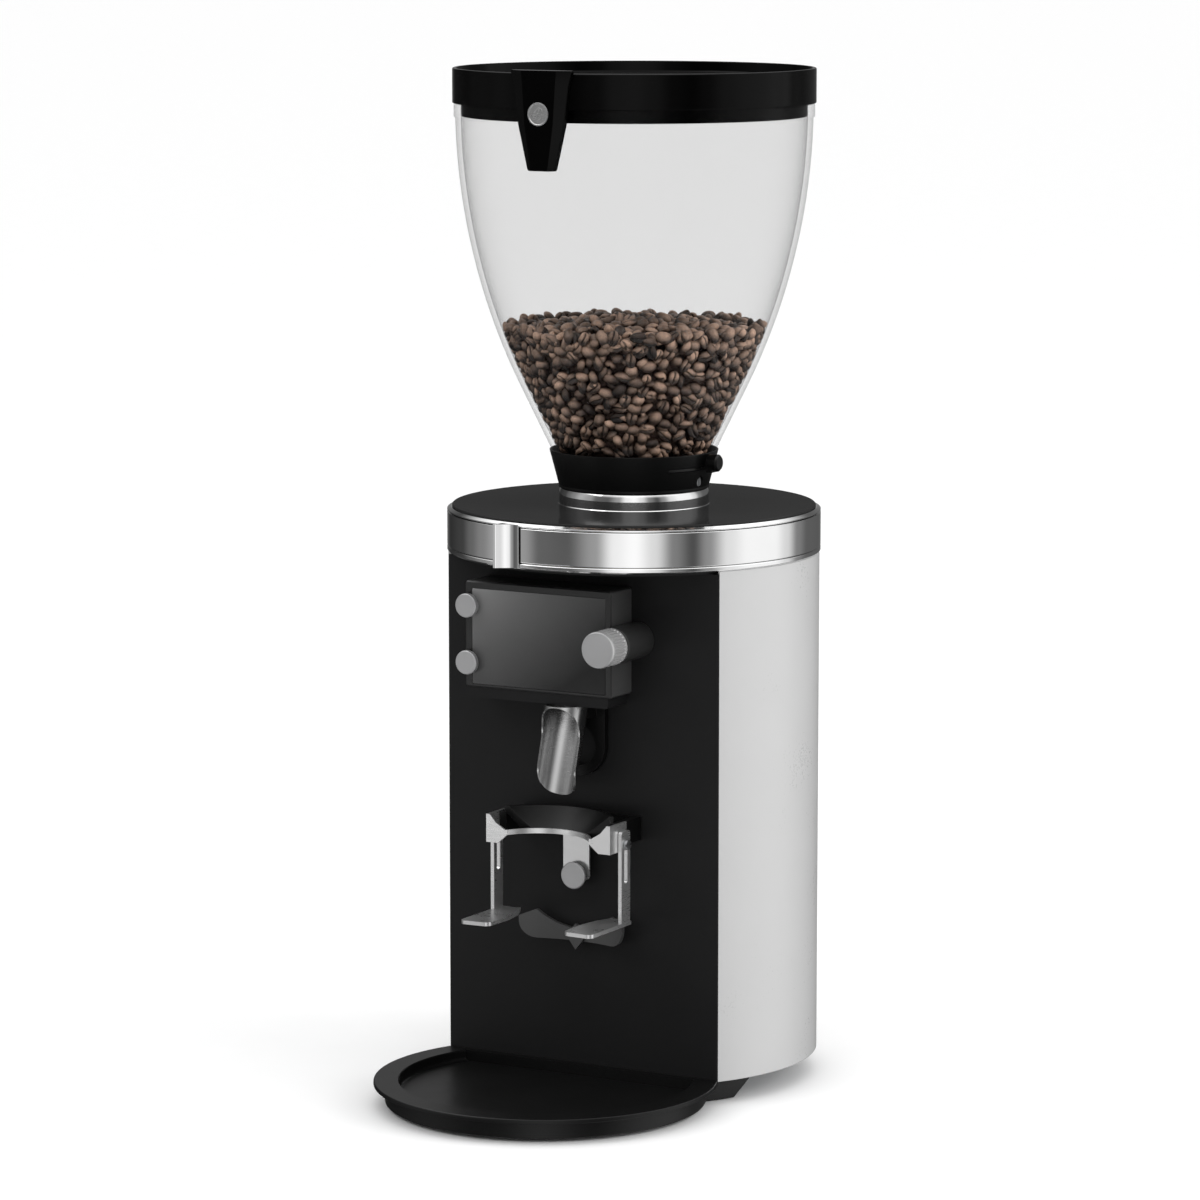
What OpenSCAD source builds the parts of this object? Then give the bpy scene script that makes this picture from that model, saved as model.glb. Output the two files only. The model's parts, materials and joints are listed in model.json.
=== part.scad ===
// Burr coffee grinder: a vertical column with a clear bean hopper on top and a fork for a portafilter.
// Millimetres, +Z up. Modules are drawn around the column's own axis with the floor at z = 0,
// and placed() moves them so that the origin is the centre of the whole part's footprint.

/* [Column] */
// Diameter of the adjustment ring, the widest part of the column
column_d = 240; // [236:0.5:246]
// Height of the feet under the housing
foot_h = 15; // [12:1:20]
// Height of the white housing, from the feet to the trim ring
housing_h = 325.5; // [320:0.5:335]
// Thickness of the housing's sheet
sheet_t = 2; // [1.2:0.1:2.5]
// Distance of the flat front panel from the column's axis
panel_set = 67.9; // [66:0.1:70]

/* [Grind adjustment] */
// Height of the turning band
ring_h = 21.7; // [18:0.1:24]
// Angle of the thumb tab around the column
tab_angle = -103.7; // [-112:0.1:-99]
// How far the thumb tab stands out of the band
tab_out = 9; // [5:0.5:12]

/* [Hopper] */
// Largest radius of the clear hopper, at its top
hopper_r = 113.9; // [112:0.1:115]
// Height of the hopper's top edge above the floor
hopper_top = 626.2; // [615:0.1:640]
// Radius of the hopper's curved side
hopper_arc = 412.7; // [400:1:430]
// Slope of the hopper's straight lower side, from the vertical
hopper_slope = 25.87; // [25:0.1:27]
// Wall thickness of the hopper
hopper_wall = 3.5; // [2.5:0.1:4]
// Height of the coffee beans at the hopper's wall
bean_level = 480.4; // [440:0.1:500]

/* [Display] */
// Width of the display module
module_w = 106.6; // [95:0.1:110]
// Height of the display module
module_h = 68; // [60:0.5:70]
// Depth of the display module in front of the panel
module_d = 26; // [20:0.5:30]

/* [Fork and tray] */
// Height of the fork's prongs above the floor
prong_z = 115.3; // [111:0.1:118]
// How far the fork can be raised
fork_travel = 18; // [8:1:18]
// Radius of the grounds tray's flange
tray_r = 108.9; // [104:0.1:112]
// Distance from the column's axis to the middle of the tray
tray_set = 114.2; // [112:0.1:118]

/* [Hidden] */
$fn = 96;

ring_r = column_d / 2;
housing_r = ring_r - 0.7;
panel_y = -panel_set;
panel_t = 3;
panel_back = panel_y + panel_t;
panel_lip = 0.7;
housing_top = foot_h + housing_h;
trim_h = 3.6;
ring_z = housing_top + trim_h + 0.3;
bezel_z = ring_z + ring_h + 0.3;
plate_z = bezel_z + 2.6;
plate_h = 1.5;
collar_z = plate_z + plate_h;
neck_z = 381.2;
neck_top = 405.6;
shell_z = 399.2;
shutter_z = 396;
lid_z = hopper_top + 0.4;
lid_top = lid_z + 22.2;
reach = tray_set + tray_r;
column_y = (reach - ring_r) / 2;
running = 0.05;
clear = 0.3;

// Hopper side: a cone that runs tangentially into an arc, which stands upright at the top.
arc_start_z = hopper_top - hopper_arc * sin(hopper_slope);
arc_start_r = hopper_r - hopper_arc * (1 - cos(hopper_slope));
function side_r(z) = z < arc_start_z
    ? arc_start_r - tan(hopper_slope) * (arc_start_z - z)
    : hopper_r - hopper_arc + sqrt(hopper_arc * hopper_arc - (hopper_top - z) * (hopper_top - z));
// Points of the hopper's side from z0 to z1, moved inwards by inset.
function side_points(z0, z1, inset, steps) = [
    for (i = [0 : steps]) let (z = z0 + (z1 - z0) * i / steps) [side_r(z) - inset, z]
];
function reversed(list) = [for (i = [len(list) - 1 : -1 : 0]) list[i]];
// Points on an arc about a centre.
function arc_points(centre, r, a0, a1, steps) = [
    for (i = [0 : steps]) let (a = a0 + (a1 - a0) * i / steps) centre + r * [cos(a), sin(a)]
];

module placed() { translate([0, column_y, 0]) children(); }
// A flat ring from z0, h high.
module washer(r_out, r_in, z0, h) {
    translate([0, 0, z0]) difference() {
        cylinder(h = h, r = r_out);
        translate([0, 0, -1]) cylinder(h = h + 2, r = r_in);
    }
}
// A disc about a Y axis through [x, z], from y0 forwards by t.
module front_disc(x, z, r, y0, t) {
    translate([x, y0, z]) rotate([90, 0, 0]) cylinder(h = t, r = r);
}
// A box with rounded vertical corners seen from the front, from y0 forwards by t.
module front_pad(x0, x1, z0, z1, r, y0, t) {
    translate([0, y0, 0]) rotate([90, 0, 0]) linear_extrude(t)
        polygon(concat(
            arc_points([x1 - r, z0 + r], r, -90, 0, 6),
            arc_points([x1 - r, z1 - r], r, 0, 90, 6),
            arc_points([x0 + r, z1 - r], r, 90, 180, 6),
            arc_points([x0 + r, z0 + r], r, 180, 270, 6)));
}

/* ---- base, frame and casings ---- */
foot_top_r = housing_r - 0.9;
foot_low_r = foot_top_r - 11;
foot_x = 68;
foot_y = 44;
foot_len = 22;
rear_foot_x = 38;
rear_foot_y = 86;
module rubber_feet() {
    color("#1a1a1a") for (side = [0, 1]) mirror([side, 0, 0]) intersection() {
        cylinder(h = foot_h, r1 = foot_low_r, r2 = foot_top_r);
        union() {
            translate([foot_x, -foot_y - foot_len, 0]) cube([ring_r - foot_x, foot_len, foot_h]);
            translate([rear_foot_x, rear_foot_y, 0]) cube([foot_len, ring_r - rear_foot_y, foot_h]);
        }
    }
}

base_t = 4;
base_r = housing_r - sheet_t - clear;
rail_x = 50.5;
rail_lip = 6;
tongue_t = 4;
tongue_z = 10.4;
module base_plate() {
    color("#3c3c3e") {
        intersection() {
            translate([0, 0, foot_h]) cylinder(h = base_t, r = base_r);
            translate([-ring_r, panel_back, 0]) cube([column_d, column_d, 60]);
        }
        for (side = [0, 1]) mirror([side, 0, 0]) {
            translate([rail_x, -60, tongue_z - 2.6]) cube([4, 38, foot_h - tongue_z + 2.6]);
            translate([rail_x - rail_lip, -60, tongue_z - 2.6]) cube([rail_lip + 1, 38, 2.3]);
        }
    }
}

deck_t = 2;
deck_z = housing_top - deck_t;
post_r = 4;
post_ring = 85;
motor_deck_z = 116;
module chassis_frame() {
    color("#8b8d90") {
        for (a = [45, 135, 225, 315]) rotate(a)
            translate([post_ring, 0, foot_h + base_t]) cylinder(h = deck_z - foot_h - base_t, r = post_r);
        difference() {
            translate([0, 0, motor_deck_z]) cylinder(h = 4, r = post_ring + post_r + 2);
            translate([0, 0, motor_deck_z - 1]) cylinder(h = 6, r = 30);
            translate([-ring_r, -ring_r, motor_deck_z - 1]) cube([column_d, ring_r + panel_back + 0.2, 6]);
        }
    }
}
deck_r = 114;
module deck_plate() { color("#222224") washer(deck_r, 56, deck_z, deck_t); }

// The drop of the grounds passes through the panel behind the boss.
duct_w = 29;
duct_low = 244;
duct_exit_h = 13;
knob_x = 40.9;
knob_z = 293.6;
shaft_r = 3;
start_z = 140.2;
stem_r = 3;
module panel_slab(r, t) {
    intersection() {
        translate([0, 0, foot_h]) cylinder(h = deck_z - foot_h, r = r);
        translate([-ring_r, panel_y, 0]) cube([column_d, t, deck_z]);
    }
}
module front_panel() {
    color("#1d1d1f") difference() {
        union() {
            // a thin lip covers the edge of the housing's sheet
            panel_slab(housing_r, panel_lip);
            panel_slab(housing_r - sheet_t - clear, panel_t);
        }
        translate([-duct_w / 2, panel_y - 1, duct_low]) cube([duct_w, panel_t + 2, duct_exit_h]);
        translate([-50, panel_y - 1, 285]) cube([30, panel_t + 2, 16]);
        front_disc(knob_x, knob_z, shaft_r + clear, panel_back + 1, panel_t + 2);
        front_disc(0, start_z, stem_r + clear, panel_back + 1, panel_t + 2);
    }
}

inlet_w = 92;
inlet_z0 = 30;
inlet_z1 = 84;
slot_rows = 5;
slot_pitch = 11;
slot_low = 104;
module rear_housing() {
    color("#f2f2f0") difference() {
        washer(housing_r, housing_r - sheet_t, foot_h, housing_h);
        translate([-ring_r, -ring_r, 0]) cube([column_d, ring_r + panel_y + panel_lip, housing_top + 1]);
        translate([-inlet_w / 2, 60, inlet_z0]) cube([inlet_w, 80, inlet_z1 - inlet_z0]);
        for (i = [0 : slot_rows - 1])
            translate([-34, 90, slot_low + i * slot_pitch]) cube([68, 60, 3.5]);
    }
}

/* ---- top stack ---- */
module lower_trim_ring() {
    color("silver") translate([0, 0, housing_top]) rotate_extrude()
        polygon([[100, 0], [ring_r - 0.8, 0], [ring_r, 0.8], [ring_r, trim_h - 0.6],
            [ring_r - 0.6, trim_h], [100, trim_h]]);
}
module top_bezel() {
    color("silver") translate([0, 0, bezel_z]) rotate_extrude()
        polygon([[104, 0], [ring_r, 0], [ring_r, 1], [ring_r - 2.6, 2.6], [104, 2.6]]);
}
module top_plate() {
    color("#4b4b4d") translate([0, 0, plate_z]) rotate_extrude()
        polygon([[collar_bore, 0], [ring_r - 3.2, 0], [ring_r - 3.2, plate_h - 0.5],
            [ring_r - 3.7, plate_h], [collar_bore, plate_h]]);
}
collar_r = 48.2;
collar_bore = 41.5;
module hopper_collar() {
    color("silver") translate([0, 0, collar_z]) rotate_extrude()
        polygon([[collar_bore, 0], [collar_r + 0.8, 0], [collar_r + 0.8, 0.6], [collar_r, 1.4],
            [collar_r, neck_z - collar_z - 0.6], [collar_r - 0.6, neck_z - collar_z],
            [collar_bore, neck_z - collar_z]]);
}

spoke_z = ring_z + 8;
hub_r = 58;
standoff_r = 4;
tab_below = 3.4;
tab_above = 2.4;
module adjustment_ring() {
    color("#c8c8ca") difference() {
        union() {
            washer(ring_r, ring_r - 7, ring_z, ring_h);
            washer(hub_r + 7, hub_r, spoke_z, 6);
            for (a = [30, 150, 270]) rotate(a) translate([hub_r + 4, -8, spoke_z])
                cube([ring_r - hub_r - 8, 16, 6]);
            // thumb tab: a wedge with one steep face, standing a little below the band
            rotate(tab_angle) translate([0, 0, ring_z - tab_below])
                linear_extrude(tab_below + ring_h + tab_above)
                    polygon([[ring_r - 4, -0.6], [ring_r + tab_out, -0.6], [ring_r + tab_out, 1.8],
                        [ring_r + 0.2, 13], [ring_r - 4, 13]]);
        }
        // the tab's ends pass the trim ring and the bezel outside their rims
        translate([0, 0, ring_z - 6]) cylinder(h = 6, r = ring_r + 0.4);
        translate([0, 0, ring_z + ring_h]) cylinder(h = 6, r = ring_r + 0.4);
        rotate(tab_angle + 6.5) translate([ring_r - 1.5, -0.5, ring_z - 1]) cube([8, 1, ring_h + 2]);
    }
}

/* ---- motor ---- */
bell_r = 52;
stator_z = 160;
stator_h = 80;
bell_low_z = 120;
bell_top_z = 300;
bearing_r = 17.5;
bearing_h = 11;
spin_r = 7.5;
module motor_stator() { color("#9a5b2c") washer(50, 32, stator_z, stator_h); }
module bell(z0, h, bearing_z) {
    difference() {
        translate([0, 0, z0]) cylinder(h = h, r = bell_r);
        translate([0, 0, z0 + 6]) cylinder(h = h, r = bell_r - 3);
        translate([0, 0, z0 - 1]) cylinder(h = h, r = bearing_r - 3);
    }
    washer(bearing_r + 5, bearing_r, bearing_z, bearing_h);
}
module lower_end_bell() { color("#a7a9ac") bell(bell_low_z, stator_z - bell_low_z, bell_low_z + 5); }
module upper_end_bell() {
    color("#a7a9ac") translate([0, 0, stator_z + stator_h + bell_top_z]) mirror([0, 0, 1])
        bell(stator_z + stator_h, bell_top_z - stator_z - stator_h, stator_z + stator_h + 5);
}
module motor_bearings() {
    color("silver") for (z = [bell_low_z + 6, bell_top_z - 6 - bearing_h])
        washer(bearing_r, spin_r + running, z, bearing_h);
}
module motor_rotor() { color("#7c7e82") washer(31, spin_r, stator_z + 5, stator_h - 10); }
module drive_shaft() { color("#b9bbbe") translate([0, 0, bell_low_z + 5]) cylinder(h = 197, r = spin_r); }
module cooling_fan() {
    color("#303235") {
        washer(14, spin_r, stator_z - 16, 12);
        washer(43, 12, stator_z - 16, 1.6);
        for (a = [0 : 45 : 315]) rotate(a) translate([12, -0.8, stator_z - 15]) cube([30, 1.6, 10]);
    }
}

/* ---- burr set ---- */
chamber_r = 50;
chamber_z = 300;
burr_r = 32.5;
carrier_r = 44;
burr_z = 319;
burr_h = 6;
burr_gap = 0.5;
module grinding_chamber() {
    color("#a9abae") {
        difference() {
            union() {
                translate([0, 0, chamber_z]) cylinder(h = housing_top - chamber_z + 4, r = chamber_r);
                translate([0, 0, housing_top]) cylinder(h = 4, r = 92);
            }
            translate([0, 0, chamber_z - 1]) cylinder(h = 10, r = spin_r + 0.6);
            translate([0, 0, chamber_z + 5]) cylinder(h = 60, r = carrier_r + 2);
            translate([-14, -chamber_r - 1, chamber_z + 6]) cube([28, 12, 16]);
        }
        for (a = [90, 210, 330]) rotate(a) translate([post_ring, 0, housing_top + 3.5])
            cylinder(h = plate_z - housing_top - 3.5, r = standoff_r);
    }
}
module lower_burr_carrier() {
    color("#8f9194") {
        washer(carrier_r - 2, spin_r, burr_z - 6, 6);
        washer(13, spin_r, burr_z - 12, 6);
        for (a = [0, 180]) rotate(a) translate([30, -2, burr_z - 12]) cube([11, 4, 7]);
    }
}
// A flat burr: a toothed face looking up, with radial grooves and three screw holes.
burr_screw_ring = 27;
module burr(z0, up) {
    difference() {
        washer(burr_r, 17, z0, burr_h);
        for (a = [0 : 30 : 330]) rotate(a) translate([16, -1, up ? z0 + burr_h - 1.6 : z0 - 1])
            rotate([0, 0, 18]) cube([18, 2, 2.6]);
        for (a = [15, 135, 255]) rotate(a) translate([burr_screw_ring, 0, z0 - 1])
            cylinder(h = burr_h + 2, r = 2.2, $fn = 24);
    }
}
module screw_set(z0) {
    for (a = [15, 135, 255]) rotate(a) translate([burr_screw_ring, 0, z0])
        cylinder(h = burr_h - 1.8, r = 2.1, $fn = 24);
}
module lower_burr() { color("#6f7174") burr(burr_z, true); }
module lower_burr_screws() { color("#c9cbce") screw_set(burr_z + 0.1); }
upper_z = burr_z + burr_h + burr_gap;
carrier_top = spoke_z + 5.6;
module upper_burr() { color("#6f7174") burr(upper_z, false); }
module upper_burr_screws() { color("#c9cbce") screw_set(upper_z + 1.7); }
module upper_burr_carrier() {
    color("#b98f4a") difference() {
        union() {
            translate([0, 0, upper_z + burr_h])
                cylinder(h = carrier_top - upper_z - burr_h, r = carrier_r + 2 - running);
            translate([0, 0, housing_top + 5])
                cylinder(h = carrier_top - housing_top - 5, r = hub_r - running);
        }
        translate([0, 0, upper_z]) cylinder(h = 60, r = 18);
        translate([0, 0, carrier_top - 10]) cylinder(h = 10.1, r1 = 18, r2 = 34);
    }
}
module outlet_duct() {
    color("#2b2b2d") difference() {
        translate([-16.5, panel_back + 0.2, duct_low]) cube([33, 12, 82]);
        translate([-14.5, panel_back + 2.2, duct_low + 2]) cube([29, 8, 77]);
        translate([-14.5, panel_back - 1, duct_low + 2]) cube([29, 4, duct_exit_h - 2]);
        translate([-14, panel_back + 8, chamber_z + 6]) cube([28, 8, 16]);
    }
}

/* ---- hopper ---- */
spigot_r = collar_bore - clear;
bean_r = 29;
shutter_w = 30;
shutter_t = 2;
shutter_gap = 0.2;
neck_wall_r = 51.4;
knob_in = 55.2;
knob_out = 62.5;
shutter_knob_r = 5.5;
shutter_knob_z = 399.5;
module hopper_neck() {
    color("#161617") difference() {
        rotate_extrude() polygon([[bean_r, neck_z - 9], [spigot_r, neck_z - 9], [spigot_r, neck_z + 0.1],
            [collar_r + 0.2, neck_z + 0.1], [collar_r + 0.2, neck_z + 1.6],
            [side_r(neck_top) + 1.4, neck_top], [side_r(neck_top) + 0.15, neck_top],
            [side_r(shell_z) + 0.15, shell_z - 0.1], [bean_r, shell_z - 0.1]]);
        translate([-37, -shutter_w - clear, shutter_z - shutter_t / 2 - shutter_gap])
            cube([100, 2 * (shutter_w + clear), shutter_t + 2 * shutter_gap]);
        translate([40, -2.4, 387.4]) rotate([0, 90, 0]) cylinder(h = 14, r = 3.3, $fn = 32);
    }
}
module hopper_lock_screw() {
    color("silver") translate([40.3, -2.4, 387.4]) rotate([0, 90, 0]) difference() {
        cylinder(h = 8.4, r = 3.2, $fn = 32);
        translate([-4, -0.5, 7.2]) cube([8, 1, 2]);
    }
}
rim_z = hopper_top - 8.9;
module hopper_shell() {
    outer = side_points(shell_z, rim_z, 0, 20);
    inner = side_points(shell_z, hopper_top, hopper_wall, 20);
    color("#d9dcdc", 0.35) rotate_extrude()
        polygon(concat(outer, [[hopper_r + 0.9, rim_z + 0.8], [hopper_r + 0.9, hopper_top]],
            reversed(inner)));
}
module bean_charge() {
    inner = side_points(shell_z + 0.5, bean_level, hopper_wall + 0.3, 8);
    color("#5b3d2a") rotate_extrude()
        polygon(concat([[0, shutter_z + 1.4], [bean_r - 0.5, shutter_z + 1.4], [bean_r - 0.5, shell_z + 0.5]],
            inner, [[62, bean_level + 5], [30, bean_level + 10], [0, bean_level + 11]]));
}
module shutter_plate() {
    // its front edge follows the neck, so that it fills the slot when it is shut
    color("#161617") translate([0, 0, shutter_z - shutter_t / 2]) {
        intersection() {
            translate([-35, -shutter_w, 0]) cube([100, 2 * shutter_w, shutter_t]);
            cylinder(h = shutter_t, r = neck_wall_r);
        }
        translate([neck_wall_r - 4, -4, 0]) cube([knob_in + 2.4 - neck_wall_r + 4, 8, shutter_t]);
    }
}
module shutter_knob() {
    color("#161617") difference() {
        union() {
            translate([knob_in, 0, shutter_knob_z]) rotate([0, 90, 0]) rotate_extrude()
                polygon([[0, 0], [shutter_knob_r, 0], [shutter_knob_r, knob_out - knob_in - 1.2],
                    [shutter_knob_r - 1.2, knob_out - knob_in], [0, knob_out - knob_in]]);
            translate([knob_in, -5, shutter_z - 2.4]) cube([4, 10, shutter_knob_z - shutter_z + 2]);
        }
        translate([knob_in - 1, -4 - running, shutter_z - shutter_t / 2 - running])
            cube([3.4 + running, 8 + 2 * running, shutter_t + 2 * running]);
    }
}

/* ---- lid ---- */
lid_r = 115.7;
module hopper_lid() {
    color("#0d0d0e") rotate_extrude() difference() {
        polygon([[0, hopper_top - 8], [hopper_r - hopper_wall - 0.4, hopper_top - 8],
            [hopper_r - hopper_wall - 0.4, lid_z], [lid_r, lid_z], [lid_r, lid_top - 1],
            [lid_r - 1, lid_top], [lid_r - 2.2, lid_top], [lid_r - 3, lid_top - 1],
            [lid_r - 3.4, lid_top - 8], [0, lid_top - 8]]);
        translate([-1, hopper_top - 9]) square([hopper_r - hopper_wall - 3.4, 18]);
    }
}
clip_y = -lid_r + 1.2;
clip_front = -lid_r - 5.6;
module lid_clip() {
    color("#101011") intersection() {
        translate([0, clip_y, 0]) rotate([90, 0, 0]) linear_extrude(clip_y - clip_front)
            polygon([[-9.7, 589], [9.7, 589], [16.6, 618], [19.4, 641], [22, lid_top + 2],
                [-22, lid_top + 2], [-19.4, 641], [-16.6, 618]]);
        // bevelled sides, seen from above
        translate([0, 0, 580]) linear_extrude(90)
            polygon([[-24, clip_y + 1], [-24, clip_y - 1.2], [-11, clip_front], [11, clip_front],
                [24, clip_y - 1.2], [24, clip_y + 1]]);
        difference() {
            translate([-30, clip_front - 1, 580]) cube([60, 10, 90]);
            cylinder(h = lid_z, r = hopper_r + 1.5);
        }
        difference() {
            translate([-30, clip_front - 1, 580]) cube([60, 10, 90]);
            translate([0, 0, lid_z - 0.1]) cylinder(h = 60, r = lid_r);
        }
    }
}
badge_z = 624;
module lid_badge() {
    color("#c4c4c6") {
        front_disc(0, badge_z, 7.2, clip_front, 0.8);
    }
}

/* ---- display and controls ---- */
module_x = -17.1;
module_z = 258.7;
module_front = panel_y - module_d;
chin_h = 6.7;
chin_z = module_z - chin_h;
module display_housing() {
    color("#1b1b1c") difference() {
        union() {
            front_pad(module_x - module_w / 2, module_x + module_w / 2, module_z, module_z + module_h, 2,
                panel_y, module_d);
            front_pad(module_x - module_w / 2 + 1, module_x + module_w / 2 - 3, chin_z, module_z + 5, 2,
                panel_y, module_d - 1);
        }
        translate([-outlet_r - clear, panel_y - 5 - clear, chin_z - 1])
            cube([2 * (outlet_r + clear), 6, 4 + clear]);
        translate([-64, module_front + 2, module_z + 6]) cube([92, module_d + 2, module_h - 12]);
        translate([-65.3, module_front - 1, module_z + 2]) cube([97.4, 2.5, module_h - 6.6]);
        for (z = button_z) front_disc(button_x, z, 4 + running, module_front + 12, 14);
        front_disc(knob_x, knob_z, boss_r + 0.1, panel_y + 1, 60);
    }
}
module display_glass() {
    color("#2a2b2e") difference() {
        translate([-65.2, module_front, module_z + 2.1]) cube([97.2, 1.4, module_h - 6.8]);
        for (z = button_z) front_disc(button_x, z, 5, module_front + 12, 14);
        front_disc(knob_x, knob_z, boss_r + 0.1, panel_y + 1, 60);
    }
}
module display_board() {
    color("#1f5a34") translate([-56, module_front + 8, module_z + 12]) cube([80, 1.6, 44]);
}
button_x = -66.5;
button_z = [274.9, 311.4];
button_r = 7.7;
module menu_button(z) {
    color("#a8a8aa") {
        translate([button_x, module_front - 3, z]) rotate([90, 0, 0]) rotate_extrude()
            polygon([[0, 0], [button_r, 0], [button_r, 2.6], [button_r - 0.4, 3.1], [0, 3.1]]);
        front_disc(button_x, z, 4, module_front + 6, 9.2);
    }
}
module menu_button_upper() { menu_button(button_z[1]); }
module menu_button_lower() { menu_button(button_z[0]); }

boss_r = 11.6;
boss_len = 32.4;
knob_len = 18.2;
module knob_boss() {
    color("#141415") difference() {
        front_disc(knob_x, knob_z, boss_r, panel_y, boss_len);
        front_disc(knob_x, knob_z, shaft_r + clear, panel_y + 1, boss_len + 2);
    }
}
module encoder_shaft() {
    color("#b9bbbe") front_disc(knob_x, knob_z, shaft_r, panel_back + 4, 4 + panel_t + boss_len + 14);
}
module selector_encoder() {
    color("#2b2b2d") difference() {
        translate([knob_x - 8, panel_back + 0.2, knob_z - 8]) cube([16, 9, 16]);
        front_disc(knob_x, knob_z, shaft_r + clear, panel_back + 5.5, 8);
    }
}
flutes = 24;
module selector_knob() {
    knob_y = panel_y - boss_len - 1.4;
    color("#a8a8aa") difference() {
        translate([knob_x, knob_y, knob_z]) rotate([90, 0, 0]) rotate_extrude()
            polygon([[0, 0], [boss_r, 0], [boss_r, knob_len - 0.7], [boss_r - 0.7, knob_len], [0, knob_len]]);
        front_disc(knob_x, knob_z, shaft_r + running, knob_y + 1, 14);
        for (i = [0 : flutes - 1]) translate([knob_x, knob_y - knob_len + 3, knob_z])
            rotate([0, i * 360 / flutes, 0]) translate([boss_r + 0.5, 0, 0])
                rotate([-90, 0, 0]) cylinder(h = knob_len - 6, r = 1, $fn = 16);
    }
}

/* ---- outlet, funnel and fork ---- */
outlet_r = 19.5;
outlet_z = 223.5;
spout_tilt = 19;
spout_r = 14;
spout_y = -96.4;
spout_z = 225;
spout_low = -28;
saddle_w = 13.5;
saddle_z = 243;
passage_w = 10.5;
passage_h = 4;
mouth_top_r = 23.6;
mouth_tip_r = 20;
// Places its children on the spout's axis, with +Z up along the axis.
module on_spout() { translate([0, spout_y, spout_z]) rotate([-spout_tilt, 0, 0]) children(); }
module outlet_boss() {
    color("#0c0c0d") difference() {
        union() {
            front_disc(0, outlet_z, outlet_r, panel_y, 5);
            translate([-outlet_r, panel_y - 5, outlet_z]) cube([2 * outlet_r, 5, chin_z + 3 - outlet_z]);
            translate([-saddle_w, panel_y - 20, saddle_z])
                cube([2 * saddle_w, 20, chin_z - saddle_z - clear]);
        }
        translate([-passage_w, panel_y - 27, duct_low + 2]) cube([2 * passage_w, 30, passage_h]);
        on_spout() translate([0, 0, spout_low]) cylinder(h = 80, r = spout_r + running);
        front_disc(0, outlet_z, outlet_r - 6.5, panel_y + 1, 7);
    }
}
module coffee_spout() {
    wall = 1.1;
    color("#9c9ea1") on_spout() difference() {
        translate([0, 0, spout_low]) cylinder(h = 60, r = spout_r);
        translate([0, 0, spout_low - 1]) cylinder(h = 62, r = spout_r - wall);
        // the mouth: a curve from the front wall down into the axis plane, and on to the tip
        rotate([90, 0, 90]) translate([0, 0, -20]) linear_extrude(40)
            polygon(concat([[-30, 23.4]], arc_points([-mouth_top_r, 1.4], mouth_top_r, 68.7, 0, 8),
                arc_points([mouth_tip_r, -8.4], mouth_tip_r, 180, 265, 10), [[20, -60], [-30, -60]]));
        // level with the underside of the display, and open towards the outlet
        rotate([spout_tilt, 0, 0]) translate([-20, -40, chin_z - 0.1 - spout_z]) cube([40, 80, 40]);
        rotate([spout_tilt, 0, 0]) translate([-passage_w, 0, duct_low + 2 - spout_z])
            cube([2 * passage_w, 40, passage_h]);
    }
}

holder_y = -125;
screw_y = -95.4;
screw_z = 167.6;
funnel_low = 172.2;
funnel_top = 184.7;
cheek_low = 165.7;
cheek_h = 15;
cheek_x = 38.5;
cheek_y = -97;
flange_x = 43.6;
module coffee_funnel() {
    color("#151516") {
        difference() {
            intersection() {
                translate([0, holder_y, 0]) rotate_extrude()
                    polygon([[34.4, funnel_low - 3.4], [34.4, funnel_low], [46, funnel_top],
                        [48.5, funnel_top], [48.5, funnel_top - 3], [37, funnel_low - 3.4]]);
                translate([-60, cheek_y, 150]) cube([120, 40, 60]);
            }
            for (side = [0, 1]) mirror([side, 0, 0]) translate([cheek_x + 4.9, -120, 150]) cube([20, 60, 60]);
        }
        difference() {
            union() {
                for (side = [0, 1]) mirror([side, 0, 0])
                    translate([cheek_x, cheek_y, cheek_low])
                        cube([flange_x - 0.2 - cheek_x, panel_y - cheek_y, cheek_h]);
                translate([-flange_x + 0.2, panel_y - 4.2, cheek_low])
                    cube([2 * flange_x - 0.4, 4.2, cheek_h]);
            }
            translate([0, holder_y, 150]) cylinder(h = 60, r = 46.4);
            for (side = [0, 1]) mirror([side, 0, 0]) translate([cheek_x - 1, screw_y, screw_z])
                rotate([0, 90, 0]) cylinder(h = 10, r = 2, $fn = 32);
        }
    }
}
band_h = 3.3;
wing_low = 163.2;
wing_h = 18.1;
module holder_bracket() {
    wing_y = -109.7;
    sheet = 1.4;
    color("#b4b4b6") {
        difference() {
            translate([0, holder_y, funnel_low - band_h]) difference() {
                cylinder(h = band_h, r = 34.3);
                translate([0, 0, -1]) cylinder(h = band_h + 2, r = 34.3 - sheet);
            }
            translate([-60, -200, 150]) cube([120, 200 + wing_y - sheet, 60]);
        }
        for (side = [0, 1]) mirror([side, 0, 0]) {
            translate([0, wing_y, wing_low]) rotate([90, 0, 0]) linear_extrude(sheet)
                polygon([[29.8, 5.7], [34, 2], [36.5, 0], [flange_x + sheet, 0],
                    [flange_x + sheet, wing_h], [42.5, wing_h], [38, 13], [31.5, 9], [29.8, 9]]);
            difference() {
                translate([flange_x, wing_y - sheet, wing_low]) cube([sheet, sheet + 20, wing_h]);
                translate([flange_x - 1, screw_y, screw_z]) rotate([0, 90, 0])
                    cylinder(h = 5, r = 2, $fn = 32);
            }
        }
    }
}
arm_x = flange_x + 1.4 + 0.3;
arm_t = 2.4;
slot_r = 2.2;
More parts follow.
